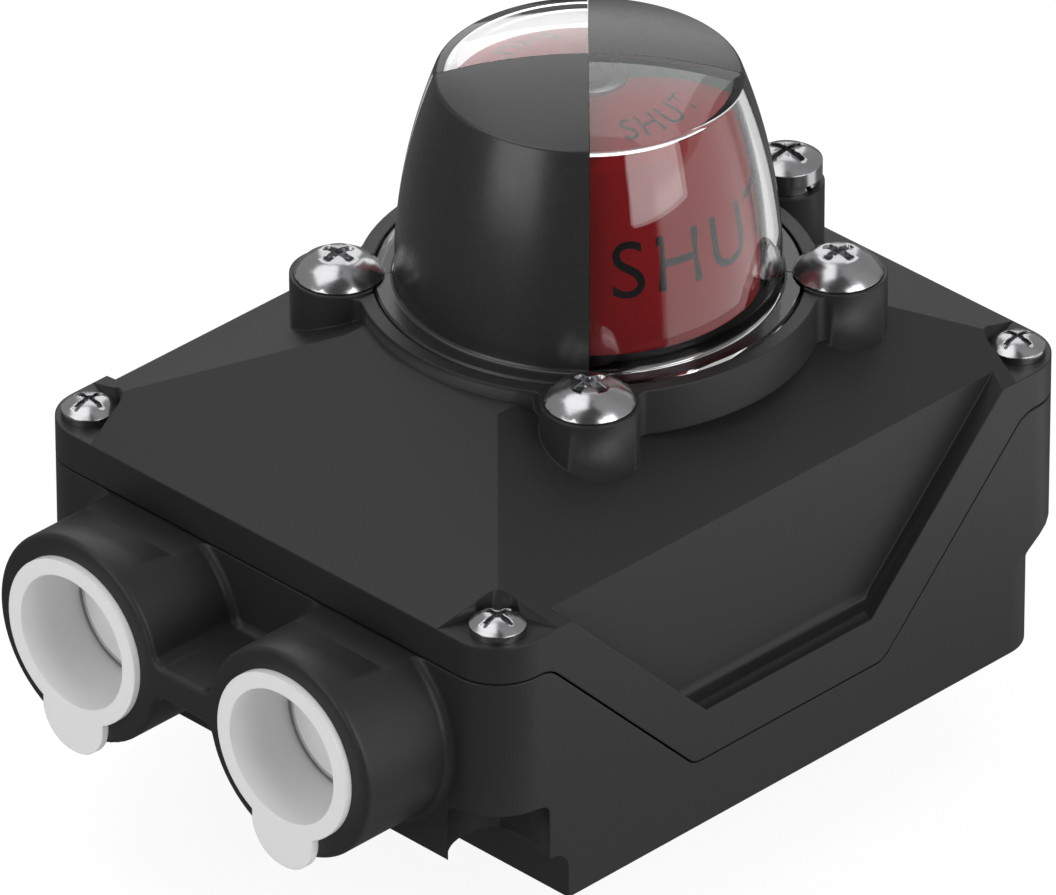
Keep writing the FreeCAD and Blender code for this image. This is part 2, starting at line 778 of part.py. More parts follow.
save("dome_clear", group([dome_sector(-45), dome_sector(135)]))
save("dome_black", group([dome_sector(45), dome_sector(225)]))
save("dome_seal", tube(seal_outer - seal_clearance, seal_inner + seal_clearance, 0, 0,
                       flange_floor - seal_depth, dome_seat))

# Indicator drum
drum_top = beacon_seat_height + dome_height - drum_top_below_dome


def drum_sector(start):
    """Quarter of the drum: barrel side, crowned top and a flat hub for the washer."""
    outer = dome_wall + drum_gap
    inner = outer + drum_wall
    rise = drum_top - drum_crown - beacon_seat_height
    outside = side_points(outer, drum_skirt_lift, rise, 4)
    inside = side_points(inner, drum_skirt_lift, rise - drum_wall, 4)[::-1]
    under = drum_top - drum_wall
    profile = outside + [bow(outside[-1][0], drum_hub, drum_top, drum_crown), (drum_hub, drum_top),
                         (drum_bore, drum_top), (drum_bore, under), (drum_hub, under)]
    profile += [bow(inside[0][0], drum_hub, under, drum_crown)] + inside
    return turned(profile, start, 90)


save("indicator_drum_shut", group([drum_sector(-45), drum_sector(135)]))
save("indicator_drum_open", group([drum_sector(45), drum_sector(225)]))

# Indicator spindle, with its bush in the cover and the dog that drives it
cover_bush_top = flange_floor + cover_bush_rim
dog_bottom = shaft_top - dog_depth
spindle_shoulder = shaft_top + seam
flange_bottom = cover_bush_top + running_gap
table_top = drum_top - drum_wall
spindle = joined([
    rod(spindle_radius, 0, 0, spindle_shoulder, flange_bottom + 1),
    rod(spindle_flange, 0, 0, flange_bottom, flange_bottom + spindle_flange_thickness),
    rod(spindle_column, 0, 0, flange_bottom + 1, table_top),
    turned([(0, table_top), (spindle_table, table_top), (spindle_table, table_top - spindle_table_rim),
            (spindle_column, table_top - spindle_table_depth), (0, table_top - spindle_table_depth)]),
    rod(spindle_radius, 0, 0, dog_bottom, spindle_shoulder + 1).common(
        box(-spindle_radius, -dog_width / 2, dog_bottom, spindle_radius, dog_width / 2, spindle_shoulder + 1)),
])
clip_bottom = stem_bottom - running_gap - spindle_clip_thickness
clip_root = spindle_radius - spindle_clip_groove
spindle = spindle.cut([
    rod(indicator_screw_shank + running_gap, 0, 0, table_top - indicator_screw_length - 1, table_top + 1),
    tube(spindle_radius + 1, clip_root, 0, 0, clip_bottom, clip_bottom + spindle_clip_thickness)])
save("indicator_spindle", spindle)
clip = tube(spindle_radius + spindle_clip_width, clip_root + clip_slack, 0, 0, 0,
            spindle_clip_thickness - clip_slack)
clip = clip.cut(box(0, -spindle_clip_mouth / 2, -1, 2 * spindle_radius, spindle_clip_mouth / 2, 2))
save("spindle_clip", moved(clip, z=clip_bottom))
save("cover_bush", joined([
    tube(bearing_top, spindle_radius + running_gap, 0, 0, stem_bottom, flange_floor + cover_bush_rim / 2),
    tube(bush_radius, spindle_radius + running_gap, 0, 0, flange_floor, cover_bush_top)]))
save("indicator_washer", tube(indicator_washer_radius, indicator_screw_shank + washer_slack, 0, 0, drum_top,
                              drum_top + indicator_washer_thickness))
indicator_screw = pan_screw(indicator_screw_head, indicator_screw_head_height, indicator_screw_shank,
                            indicator_screw_length)
save("indicator_screw", moved(indicator_screw, z=drum_top + indicator_washer_thickness))

# Main shaft with its bush and seal
bush_top = bearing_height + bush_flange_thickness
collar_bottom = bush_top + running_gap
spline_bottom = collar_bottom + collar_thickness
cam_upper_height = cam_low_height + cam_pitch
cam_clip_bottom = cam_upper_height + cam_thickness + running_gap
spline_top = cam_clip_bottom + cam_clip_groove


def serrated(root, tip, z0, z1):
    """Column with pointed teeth all round, as on a splined hub."""
    count = 2 * spline_teeth
    points = []
    for i in range(count):
        radius = tip if i % 2 == 0 else root
        angle = 2 * pi * i / count
        points.append(Vector(radius * cos(angle), radius * sin(angle), z0))
    return Part.Face(Part.makePolygon(points + points[:1])).extrude(Vector(0, 0, z1 - z0))


stub_end = -shaft_stub
tongue_top = stub_end + tongue_length
tongue = rod(tongue_reach, 0, 0, stub_end, tongue_top + 1).common(
    box(-tongue_reach, -tongue_width / 2, stub_end, tongue_reach, tongue_width / 2, tongue_top + 1))
main_shaft = joined([
    tongue, rod(stub_radius, 0, 0, tongue_top, 1), rod(shaft_radius, 0, 0, 0, collar_bottom + 0.5),
    rod(collar_radius, 0, 0, collar_bottom, spline_bottom),
    serrated(spline_root, spline_tip, spline_bottom, spline_top),
    rod(spline_root, 0, 0, spline_top, shaft_top),
])
main_shaft = main_shaft.cut([
    box(-shaft_radius, -dog_width / 2 - running_gap, dog_bottom - seam,
        shaft_radius, dog_width / 2 + running_gap, shaft_top + 1),
    tube(spline_tip + 1, spline_root - cam_clip_bite, 0, 0, cam_clip_bottom, spline_top)])
save("main_shaft", main_shaft)
cam_clip = tube(spline_tip + cam_clip_width, spline_root - cam_clip_bite + clip_slack, 0, 0, 0,
                cam_clip_groove - running_gap)
cam_clip = cam_clip.cut(box(0, -cam_clip_mouth / 2, -1, 2 * spline_tip, cam_clip_mouth / 2, 2))
save("cam_clip", moved(cam_clip, z=cam_clip_bottom))
save("shaft_bush", joined([
    tube(bush_radius, shaft_radius + running_gap, 0, 0, seal_high, bearing_height + bush_flange_thickness / 2),
    tube(bush_flange, shaft_radius + running_gap, 0, 0, bearing_height, bush_top)]))
save("shaft_seal", tube(bush_radius, shaft_radius + running_gap, 0, 0, seal_low, seal_high))

# Cams: a nose of constant slope, so that the lever's angle follows the shaft's
roller_angle = 90.0
quarter_turn = 90.0
cam_stations = 24


def cam_curve(high_at, z0):
    """Closed curve that is highest at one angle and falls evenly over a quarter turn on each side."""
    points = []
    for i in range(cam_stations):
        angle = i * 360.0 / cam_stations
        away = abs((angle - high_at + 180.0) % 360.0 - 180.0)
        radius = cam_high - (cam_high - cam_low) * min(away / quarter_turn, 1.0)
        points.append(Vector(radius * cos(radians(angle)), radius * sin(radians(angle)), z0))
    curve = Part.BSplineCurve()
    curve.interpolate(points, PeriodicFlag=True)
    return Part.Wire([curve.toShape()])


def cam_solid(high_at, z0, seat_above):
    body = Part.Face(cam_curve(high_at, z0)).extrude(Vector(0, 0, cam_thickness))
    bore = serrated(spline_root + running_gap, spline_tip + running_gap, z0 - 1, z0 + cam_thickness + 1)
    if seat_above:
        well = rod(spring_seat, 0, 0, z0 + cam_web, z0 + cam_thickness + 1)
    else:
        well = rod(spring_seat, 0, 0, z0 - 1, z0 + cam_thickness - cam_web)
    return body.cut([bore, well])


save("lower_cam", cam_solid(roller_angle, cam_low_height, True))
save("upper_cam", cam_solid(roller_angle - quarter_turn, cam_upper_height, False))
spring_low = cam_low_height + cam_web + spring_wire + 0.02
spring_high = cam_upper_height + cam_thickness - cam_web - spring_wire - 0.02
spring_pitch = (spring_high - spring_low) / spring_turns
helix = Part.makeHelix(spring_pitch, spring_high - spring_low, spring_radius)
helix.translate(Vector(0, 0, spring_low))
wire_sides = 6
wire_corners = [Vector(spring_radius + spring_wire * cos(2 * pi * i / wire_sides), 0,
                       spring_low + spring_wire * sin(2 * pi * i / wire_sides)) for i in range(wire_sides)]
coil_end = Part.makePolygon(wire_corners + wire_corners[:1])
save("cam_spring", Part.Wire(helix).makePipeShell([coil_end], True, True))

# Snap-action switches, drawn with their working face towards -X and then turned to face -Y
switch_near = -switch_end
switch_far = switch_length - switch_end
hole_near = switch_near + (switch_length - switch_hole_pitch) / 2
hole_far = hole_near + switch_hole_pitch
switch_hole_x = switch_face + switch_hole_depth
pivot_x = switch_face - lever_pivot_face
lever_rest_x = cam_high + cam_gap + lever_nose
lever_swing = (cam_high - cam_low) / lever_pivot_along
lever_swing_deg = lever_swing * 180 / pi
plunger_travel = lever_swing * plunger_along
lever_gap = 0.08


def to_back(shape):
    return spun(shape, 90)


def switch_body(z0):
    z1 = z0 + switch_thickness
    body = block(rectangle(switch_face, switch_near, switch_face + switch_height, switch_far, switch_corner),
                 at_z(z0), Vector(0, 0, switch_thickness))
    middle = (z0 + z1) / 2
    lug_low = middle - lever_width / 2 - 1.4
    lugs = box(pivot_x - 1.5, lever_pivot_along - 1.5, lug_low, switch_face + 1, lever_pivot_along + 1.5,
               2 * middle - lug_low)
    slot = box(pivot_x - 3, lever_pivot_along - 3, middle - lever_width / 2 - 0.1, switch_face + 0.8,
               lever_pivot_along + 3, middle + lever_width / 2 + 0.1)
    holes = [rod(switch_hole, switch_hole_x, y, z0 - 1, z1 + 1) for y in (hole_near, hole_far)]
    guide = Part.makeCylinder(plunger_radius + running_gap, plunger_length + 1.5,
                              Vector(switch_face - 1, plunger_y, middle), RIGHT)
    pin_hole = rod(lever_pin, pivot_x, lever_pivot_along, z0, z1)
    ribs = [box(switch_face + switch_height - 0.6, y - 3.2, z0 + 1.2, switch_face + switch_height + 1,
                y + 3.2, z1 - 1.2) for y in blade_places]
    return body.fuse(lugs).cut([slot, guide, pin_hole] + holes + ribs).removeSplitter()


plunger_y = lever_pivot_along - plunger_along
blade_places = [switch_near + 4.5, (switch_near + switch_far) / 2, switch_far - 4.5]
lower_switch_z = switch_low
upper_switch_z = switch_low + cam_pitch
save("lower_switch_body", to_back(switch_body(lower_switch_z)))
save("upper_switch_body", to_back(switch_body(upper_switch_z)))


def switch_blades(z0):
    middle = z0 + switch_thickness / 2
    start = switch_face + switch_height - 0.6
    blades = []
    for y in blade_places:
        tab = box(start, y - 2.4, middle - 0.4, start + blade_length, y + 2.4, middle + 0.4)
        eye = rod(0.8, start + blade_length - 2, y, middle - 1, middle + 1)
        blades.append(tab.cut(eye))
    return blades


save("lower_switch_terminals", group([to_back(b) for b in switch_blades(lower_switch_z)]))
save("upper_switch_terminals", group([to_back(b) for b in switch_blades(upper_switch_z)]))


def lever(middle):
    """Formed leaf with a rolled eye at the pivot and a half-round nose over the cam."""
    low = middle - lever_width / 2
    leaf_x = lever_rest_x + lever_nose
    high = low + lever_width
    past_nose = lever_rest_x + lever_nose + 1
    leaf = box(leaf_x, lever_nose - lever_thickness, low, leaf_x + lever_thickness, lever_pivot_along, high)
    nose = tube(lever_nose, lever_nose - lever_thickness, lever_rest_x, 0, low, high)
    nose = nose.cut(box(lever_rest_x, -lever_nose - 1, low - 1, past_nose, lever_nose + 1, high + 1))
    shank = block([(lever_rest_x, lever_nose, 0), (lever_rest_x, lever_nose - lever_thickness, 0),
                   (leaf_x, lever_nose - lever_thickness, 0), (leaf_x, lever_nose, 0)], at_z(low),
                  Vector(0, 0, lever_width))
    eye = tube(lever_pin + running_gap + lever_thickness, lever_pin + running_gap, pivot_x, lever_pivot_along,
               low, high)
    bore = rod(lever_pin + running_gap, pivot_x, lever_pivot_along, low - 1, high + 1)
    return joined([leaf, nose, shank, eye]).cut(bore)


def plunger(middle, stroke):
    tip_x = lever_rest_x + lever_nose + lever_thickness + lever_gap
    stem = Part.makeCylinder(plunger_radius, plunger_length, Vector(tip_x, plunger_y, middle), RIGHT)
    stem = stem.makeFillet(0.5, [e for e in stem.Edges if near(e.CenterOfMass.x, tip_x) and e.Closed])
    return moved(stem, x=-stroke)


lower_middle = lower_switch_z + switch_thickness / 2
upper_middle = upper_switch_z + switch_thickness / 2
save("lower_lever", to_back(lever(lower_middle)))
save("upper_lever", to_back(spun(lever(upper_middle), -lever_swing_deg, pivot_x, lever_pivot_along)))
save("lower_plunger", to_back(plunger(lower_middle, 0.0)))
save("upper_plunger", to_back(plunger(upper_middle, plunger_travel)))
pin_half = lever_width / 2 + 1.3
save("lever_pins", group([
    to_back(rod(lever_pin - 0.01, pivot_x, lever_pivot_along, middle - pin_half, middle + pin_half))
    for middle in (lower_middle, upper_middle)]))

# Switch bracket, insulator and screws
bracket = block(rectangle(switch_face + 0.5, switch_near - bracket_ear, switch_face + switch_height,
                          switch_far + bracket_ear, bracket_corner),
                at_z(post_top), Vector(0, 0, bracket_thickness))
bracket = bracket.cut([rod(small_hole, bracket_reach, y, post_top - 1, bracket_top + 1)
                       for y in (switch_near - bracket_ear_hole, switch_far + bracket_ear_hole)])
bracket = bracket.cut([rod(switch_hole - switch_slack, switch_hole_x, y, post_top - 1, bracket_top + 1)
                       for y in (hole_near, hole_far)])
save("switch_bracket", to_back(bracket))
small_screw = pan_screw(small_head, small_head_height, small_shank, small_length)
save("bracket_screws", group([moved(small_screw, x, y, bracket_top) for x, y in post_places]))
spacer_low = lower_switch_z + switch_thickness + running_gap
spacer = block(rectangle(switch_face, switch_near, switch_face + switch_height, switch_far, switch_corner),
               at_z(spacer_low), Vector(0, 0, cam_pitch - switch_thickness - 2 * running_gap))
spacer = spacer.cut([rod(switch_hole, switch_hole_x, y, 0, beacon_seat_height)
                     for y in (hole_near, hole_far)])
save("switch_insulator", to_back(spacer))
switch_top = upper_switch_z + switch_thickness
long_screw = pan_screw(small_head, small_head_height, switch_hole - 2 * switch_slack, switch_top - post_top)
save("switch_screws", group([to_back(moved(long_screw, switch_hole_x, y, switch_top))
                             for y in (hole_near, hole_far)]))

# Terminal strip
strip_front = -strip_reach - strip_depth / 2
strip_back = -strip_reach + strip_depth / 2
strip_top = strip_seat + strip_height
pole_xs = [(i - (strip_poles - 1) / 2) * strip_pitch for i in range(strip_poles)]
strip_shoulder = strip_top - strip_chamfer_drop
strip = block([(strip_front, strip_seat, 0), (strip_back, strip_seat, 0), (strip_back, strip_shoulder, 0),
               (strip_back - strip_chamfer, strip_top, 0), (strip_front + strip_chamfer, strip_top, 0),
               (strip_front, strip_shoulder, 0)],
              at_x(-strip_length / 2), Vector(strip_length, 0, 0))
clamp_low = strip_seat + clamp_lift
clamp_high = clamp_low + clamp_height
clamp_half = clamp_width / 2
clamp_axis = clamp_low + clamp_bore_rise
clamp_screw_ys = [-strip_reach - well_offset, -strip_reach + well_offset]
cuts = []
for x in pole_xs:
    cuts.append(box(x - clamp_half - clamp_slack, strip_front - 1, clamp_low - clamp_slack,
                    x + clamp_half + clamp_slack, strip_back + 1, clamp_high + clamp_slack))
    cuts += [rod(strip_well_radius, x, y, clamp_high, strip_top + 1) for y in clamp_screw_ys]
for i in range(strip_poles - 1):
    x = (pole_xs[i] + pole_xs[i + 1]) / 2
    cuts.append(box(x - strip_slit / 2, strip_front - 1, strip_top - strip_slit_depth, x + strip_slit / 2,
                    strip_back + 1, strip_top + 1))
for x, y in strip_post_places:
    cuts.append(rod(small_hole, x, y, 0, strip_top + 1))
    cuts.append(rod(small_head + head_clearance, x, y, strip_seat + strip_foot, strip_top + 1))
save("terminal_block", strip.cut(cuts))
clamps = []
strip_screws = []
clamp_screw = slotted_screw(clamp_screw_head, clamp_screw_head_height, clamp_screw_shank, clamp_screw_length)
for x in pole_xs:
    clamp = box(x - clamp_half, strip_front + clamp_end, clamp_low,
                x + clamp_half, strip_back - clamp_end, clamp_high)
    wire_bore = Part.makeCylinder(clamp_bore, strip_depth, Vector(x, strip_front, clamp_axis), BACK)
    threads = [rod(clamp_screw_shank + running_gap, x, y, clamp_axis, clamp_high + 1) for y in clamp_screw_ys]
    clamps.append(clamp.cut([wire_bore] + threads))
    strip_screws += [moved(clamp_screw, x, y, clamp_high + running_gap) for y in clamp_screw_ys]
save("terminal_clamps", group(clamps))
save("terminal_screws", group(strip_screws))
save("terminal_block_screws", group([moved(small_screw, x, y, strip_seat + strip_foot)
                                     for x, y in strip_post_places]))
inner_earth = pan_screw(cover_screw_head, cover_screw_head_height, earth_screw_shank, small_length)
inner_washer_top = earth_post_top + inner_earth_washer_thickness
save("inner_earth_washer", tube(inner_earth_washer_radius, earth_screw_shank + washer_slack, earth_post[0],
                                earth_post[1], earth_post_top, inner_washer_top))
save("inner_earth_screw", moved(inner_earth, earth_post[0], earth_post[1], inner_washer_top))

# Transit plugs of the conduit entries
rim_face = -entry_reach - transit_rim_thickness
cup_radius = entry_bore - running_gap


def transit_plug(x):
    z = entry_height
    rim = Part.makeCylinder(transit_rim, transit_rim_thickness, Vector(x, rim_face, z), BACK)
    tab_low = z - transit_rim - transit_tab_reach
    half = transit_tab_width / 2
    tab_round = half * 0.95
    tab = block([(x - half, z, 0), (x - half, tab_low, tab_round), (x + half, tab_low, tab_round),
                 (x + half, z, 0)], at_y(rim_face), Vector(0, transit_rim_thickness, 0))
    cup = Part.makeCylinder(cup_radius, transit_depth, Vector(x, -entry_reach, z), BACK)
    plug = joined([rim, tab, cup])
    well_radius = cup_radius - transit_wall
    well_end = -entry_reach + transit_depth - transit_floor
    well = Part.makeCylinder(well_radius, well_end - rim_face, Vector(x, rim_face, z), BACK)
    groove = Part.makeCylinder(well_radius, transit_groove_depth, Vector(x, well_end, z), BACK)
    island = Part.makeCylinder(well_radius - transit_groove, transit_depth, Vector(x, well_end, z), BACK)
    return plug.cut([well, groove.cut(island)])


save("transit_plug_left", transit_plug(entry_axes[0]))
save("transit_plug_right", transit_plug(entry_axes[1]))
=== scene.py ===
"""Valve limit switch box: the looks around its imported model, laid out as an add-on."""
import json
import math

import bmesh
import bpy
from bpy.props import FloatProperty, FloatVectorProperty, PointerProperty, StringProperty
from mathutils import Matrix, Vector


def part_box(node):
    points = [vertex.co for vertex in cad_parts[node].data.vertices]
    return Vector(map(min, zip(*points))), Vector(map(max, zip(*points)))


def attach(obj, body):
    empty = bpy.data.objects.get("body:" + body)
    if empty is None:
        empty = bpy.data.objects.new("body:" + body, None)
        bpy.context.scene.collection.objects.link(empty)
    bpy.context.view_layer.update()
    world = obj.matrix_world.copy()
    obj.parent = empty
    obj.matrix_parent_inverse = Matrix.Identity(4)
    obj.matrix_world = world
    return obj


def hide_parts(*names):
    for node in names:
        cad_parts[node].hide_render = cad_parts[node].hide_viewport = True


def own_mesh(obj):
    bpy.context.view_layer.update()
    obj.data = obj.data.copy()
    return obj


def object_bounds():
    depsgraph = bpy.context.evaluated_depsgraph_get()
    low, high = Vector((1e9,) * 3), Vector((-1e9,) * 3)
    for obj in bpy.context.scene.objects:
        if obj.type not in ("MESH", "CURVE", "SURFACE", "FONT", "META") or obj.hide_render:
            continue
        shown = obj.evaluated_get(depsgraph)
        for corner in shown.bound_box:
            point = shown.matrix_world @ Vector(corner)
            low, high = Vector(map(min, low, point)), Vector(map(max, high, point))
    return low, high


bl_info = {
    "name": "Valve limit switch box",
    "version": (1, 0, 0),
    "blender": (4, 5, 0),
    "location": "3D View > Sidebar > Switch Box",
    "description": "Builds the finishes, beacon, drum, screws and stage of a valve limit switch box",
    "category": "Object",
}

MM = 0.001
IMAGE_WIDTH = 1056
IMAGE_HEIGHT = 895
SENSOR_WIDTH = 36.0
BLACK = (0.0, 0.0, 0.0, 1.0)
WHITE = (1.0, 1.0, 1.0, 1.0)

# Height of the dome's seat above the foot, in millimetres
DOME_SEAT = 58.0

# Vertices closer than this are one
WELD = 0.0005 * MM

# Faces of a solid that turn by less than this are joined
SAME_PLANE = math.radians(0.3)

# Two faces larger than this, which turn by more than the angle, meet in a crisp crease
PLAIN_AREA = 60.0 * MM * MM
PLAIN_TURN = math.radians(2.0)

# A driver's tip as shares of its mouth: span and width of the blades, radius and depth of the cone
TIP_SPAN = 0.55
TIP_WIDTH = 0.7
CONE_TIP = 0.45
CONE_DEPTH = 0.9

# Depth of the surface grain and of the marks on metal
GRAIN_DEPTH = 0.1 * MM
MARK_DEPTH = 0.05 * MM

# Gap between dome and drum, in millimetres
DRUM_GAP = 1.1

# Printed words: lift off the drum and widest flat face in millimetres, letter spacing
INK_LIFT = 0.04
LETTER_CUT = 0.5
LETTER_SPACING = 1.12

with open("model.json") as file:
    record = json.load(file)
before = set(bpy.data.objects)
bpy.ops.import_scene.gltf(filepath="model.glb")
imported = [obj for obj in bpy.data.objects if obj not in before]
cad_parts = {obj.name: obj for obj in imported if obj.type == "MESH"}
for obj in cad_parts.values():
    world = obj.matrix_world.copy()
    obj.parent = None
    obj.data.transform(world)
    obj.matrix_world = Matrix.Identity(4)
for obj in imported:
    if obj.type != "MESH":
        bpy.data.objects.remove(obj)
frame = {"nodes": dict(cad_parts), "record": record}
CAD_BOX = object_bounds()
NODE_BODY = {n: body for body, nodes in frame["record"]["behaviour"]["bodies"].items() for n in nodes}


# Shader arithmetic


class Tone:
    """A shader socket that takes part in Python arithmetic."""

    def __init__(self, finish, socket):
        self.finish = finish
        self.socket = socket

    def __add__(self, other):
        return self.finish.calculate("ADD", self, other)

    def __radd__(self, other):
        return self.finish.calculate("ADD", other, self)

    def __sub__(self, other):
        return self.finish.calculate("SUBTRACT", self, other)

    def __mul__(self, other):
        return self.finish.calculate("MULTIPLY", self, other)

    def __truediv__(self, other):
        return self.finish.calculate("DIVIDE", self, other)

    def __pow__(self, other):
        return self.finish.calculate("POWER", self, other)


class Finish:
    """A material or a world under construction, with one method for every node."""

    def __init__(self, name, blocks=None):
        self.material = (bpy.data.materials if blocks is None else blocks).new(name)
        self.material.use_nodes = True
        self.tree = self.material.node_tree
        self.tree.nodes.clear()
        self.place = self.node("ShaderNodeTexCoord", output="Object" if blocks is None else "Generated")

    def node(self, kind, settings=None, inputs=None, output=0):
        made = self.tree.nodes.new(kind)
        for key, value in (settings or {}).items():
            if key == "stops":
                ramp = made.color_ramp.elements
                while len(ramp) < len(value):
                    ramp.new(0.5)
                for element, (position, colour) in zip(ramp, value):
                    element.position = position
                    element.color = colour
            else:
                setattr(made, key, value)
        for key, value in (inputs or {}).items():
            socket = made.inputs[key]
            if isinstance(value, Tone):
                self.tree.links.new(value.socket, socket)
            else:
                socket.default_value = value
        return Tone(self, made.outputs[output])

    def calculate(self, operation, *values):
        return self.node("ShaderNodeMath", {"operation": operation}, dict(enumerate(values)))

    def axes(self):
        """The three coordinates of a point."""
        split = self.node("ShaderNodeSeparateXYZ", None, {"Vector": self.place}).socket.node
        return [Tone(self, split.outputs[axis]) for axis in "XYZ"]

    def noise(self, scale):
        """Noise about 0.5, its cells about 1/scale metres wide."""
        return self.node("ShaderNodeTexNoise", {"noise_dimensions": "3D"},
                         {"Vector": self.place, "Scale": scale, "Detail": 2.0, "Roughness": 0.5}, "Fac")

    def about(self, value, noise, spread):
        """The value, made uneven by a noise."""
        return value + (noise - 0.5) * spread

    def stops(self, value, stops):
        return self.node("ShaderNodeValToRGB", {"stops": stops}, {"Fac": value}, "Color")

    def ramp(self, value, low, high, dark=BLACK, light=WHITE):
        return self.stops(value, [(low, dark), (high, light)])

    def mix(self, factor, first, second):
        return self.node("ShaderNodeMix", {"data_type": "RGBA"}, {0: factor, 6: first, 7: second}, 2)

    def clouded(self, colour, scale, darker, lighter):
        """The colour, a little darker and lighter in soft clouds."""
        return self.mix(self.noise(scale), opaque(colour, darker), opaque(colour, lighter))

    def edges(self, radius):
        """Normals that turn smoothly over every sharp edge."""
        return self.node("ShaderNodeBevel", {"samples": 6}, {"Radius": radius}, "Normal")

    def bump(self, height, strength, depth, edge=0.0):
        inputs = {"Height": height, "Strength": strength, "Distance": depth}
        if edge:
            inputs["Normal"] = self.edges(edge)
        return self.node("ShaderNodeBump", None, inputs, "Normal")

    def surface(self, inputs):
        """Closes the material with a Principled shader."""
        shader = self.node("ShaderNodeBsdfPrincipled", None, inputs, "BSDF")
        self.node_output(shader)
        return self.material

    def ray(self, kind):
        return self.node("ShaderNodeLightPath", output=kind)

    def node_output(self, shader, kind="ShaderNodeOutputMaterial"):
        out = self.tree.nodes.new(kind)
        self.tree.links.new(shader.socket, out.inputs["Surface"])


def grey(value):
    return (value, value, value, 1.0)


def opaque(colour, share=1.0):
    """Four numbers from a colour property, scaled by a share."""
    return (colour[0] * share, colour[1] * share, colour[2] * share, 1.0)


def powder_coat(name, colour, roughness, gloss, edge):
    """Satin powder coat: a faint orange-peel surface and a slight change of tone."""
    finish = Finish(name)
    grain = finish.noise(1400.0)
    return finish.surface({
        "Base Color": finish.clouded(colour, 35.0, 0.93, 1.07),
        "Roughness": finish.about(roughness, grain, 0.12),
        "Specular IOR Level": gloss,
        "Normal": finish.bump(grain, 0.06, GRAIN_DEPTH, edge),
    })


def moulded(name, colour, roughness, grain_scale=900.0, relief=0.05, specular=0.5, edge=0.15 * MM):
    """Moulded plastic or rubber with a fine even grain."""
    finish = Finish(name)
    grain = finish.noise(grain_scale)
    return finish.surface({
        "Base Color": finish.clouded(colour, 60.0, 0.95, 1.05),
        "Roughness": finish.about(roughness, grain, 0.1),
        "Specular IOR Level": specular,
        "Normal": finish.bump(grain, relief, GRAIN_DEPTH, edge),
    })


def metal(name, colour, roughness, scratch_scale=(300.0, 300.0, 6000.0), edge=0.12 * MM):
    """Machined or drawn metal, with fine marks stretched along one direction."""
    finish = Finish(name)
    stretched = finish.node("ShaderNodeMapping", None, {"Vector": finish.place, "Scale": scratch_scale},
                            "Vector")
    marks = finish.node("ShaderNodeTexNoise", None,
                        {"Vector": stretched, "Scale": 1.0, "Detail": 3.0, "Roughness": 0.6}, "Fac")
    return finish.surface({
        "Base Color": finish.clouded(colour, 120.0, 0.92, 1.05),
        "Metallic": 1.0,
        "Roughness": finish.about(roughness, marks, 0.16),
        "Normal": finish.bump(marks, 0.04, MARK_DEPTH, edge),
    })


def clear_plastic(name, colour, edge_shade, index, gloss):
    """Clear polycarbonate, with painted shade where it is seen edge on."""
    finish = Finish(name)
    facing = finish.node("ShaderNodeLayerWeight", None, {"Blend": 0.5}, "Facing")
    # Painted shade: the colour turns to the dark edge shade where the surface is seen edge on
    edge_on_shade = finish.ramp(facing ** 2.0, 0.7, 1.0)
    return finish.surface({
        "Base Color": finish.mix(edge_on_shade, opaque(colour), opaque(edge_shade)),
        "Roughness": 0.0,
        "Specular IOR Level": gloss,
        "IOR": index,
        "Transmission Weight": 1.0,
    })


# Mesh helpers


def mesh_of(bm, name):
    """A new mesh of a bmesh, which is freed."""
    mesh = bpy.data.meshes.new(name)
    bm.to_mesh(mesh)
    bm.free()
    return mesh


def place(bm, name, finish, body, stands_for=(), crease=30.0):
    """Turns a bmesh into a piece that rides on a body, its faces all turned outwards."""
    bmesh.ops.recalc_face_normals(bm, faces=bm.faces)
    return settle(bm, name, finish, body, stands_for, crease)


def settle(bm, name, finish, body, stands_for, crease):
    """Turns a bmesh into a smooth-shaded piece that rides on a body."""
    mesh = mesh_of(bm, name)
    piece = bpy.data.objects.new(name, mesh)
    bpy.context.scene.collection.objects.link(piece)
    mesh.materials.clear()
    mesh.materials.append(finish)
    mesh.polygons.foreach_set("use_smooth", [True] * len(mesh.polygons))
    mesh.set_sharp_from_angle(angle=math.radians(crease))
    flat = piece.modifiers.new("Flat faces stay flat", "WEIGHTED_NORMAL")
    flat.keep_sharp = True
    flat.weight = 90
    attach(piece, body)
    if stands_for:
        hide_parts(*stands_for)
    return piece


def merged(node):
    """The mesh of a CAD node with its loose triangles joined, as a bmesh."""
    bm = bmesh.new()
    bm.from_mesh(frame["nodes"][node].data)
    bmesh.ops.remove_doubles(bm, verts=bm.verts, dist=WELD)
    return bm


def dressed(node, finish, crease=30.0):
    """A smooth-shaded copy of a CAD node, which stands for the node."""
    bm = merged(node)
    bmesh.ops.dissolve_limit(bm, angle_limit=SAME_PLANE, verts=bm.verts, edges=bm.edges)
    piece = settle(bm, node + "_finished", finish, NODE_BODY[node], (node,), crease)
    sharpen(piece.data)


def sharpen(mesh):
    """Keeps the shallow creases between large plain faces crisp."""
    bm = bmesh.new()
    bm.from_mesh(mesh)
    for edge in bm.edges:
        pair = edge.link_faces
        if len(pair) == 2 and edge.calc_face_angle() > PLAIN_TURN:
            if min(face.calc_area() for face in pair) > PLAIN_AREA:
                edge.smooth = False
    bm.to_mesh(mesh)
    bm.free()


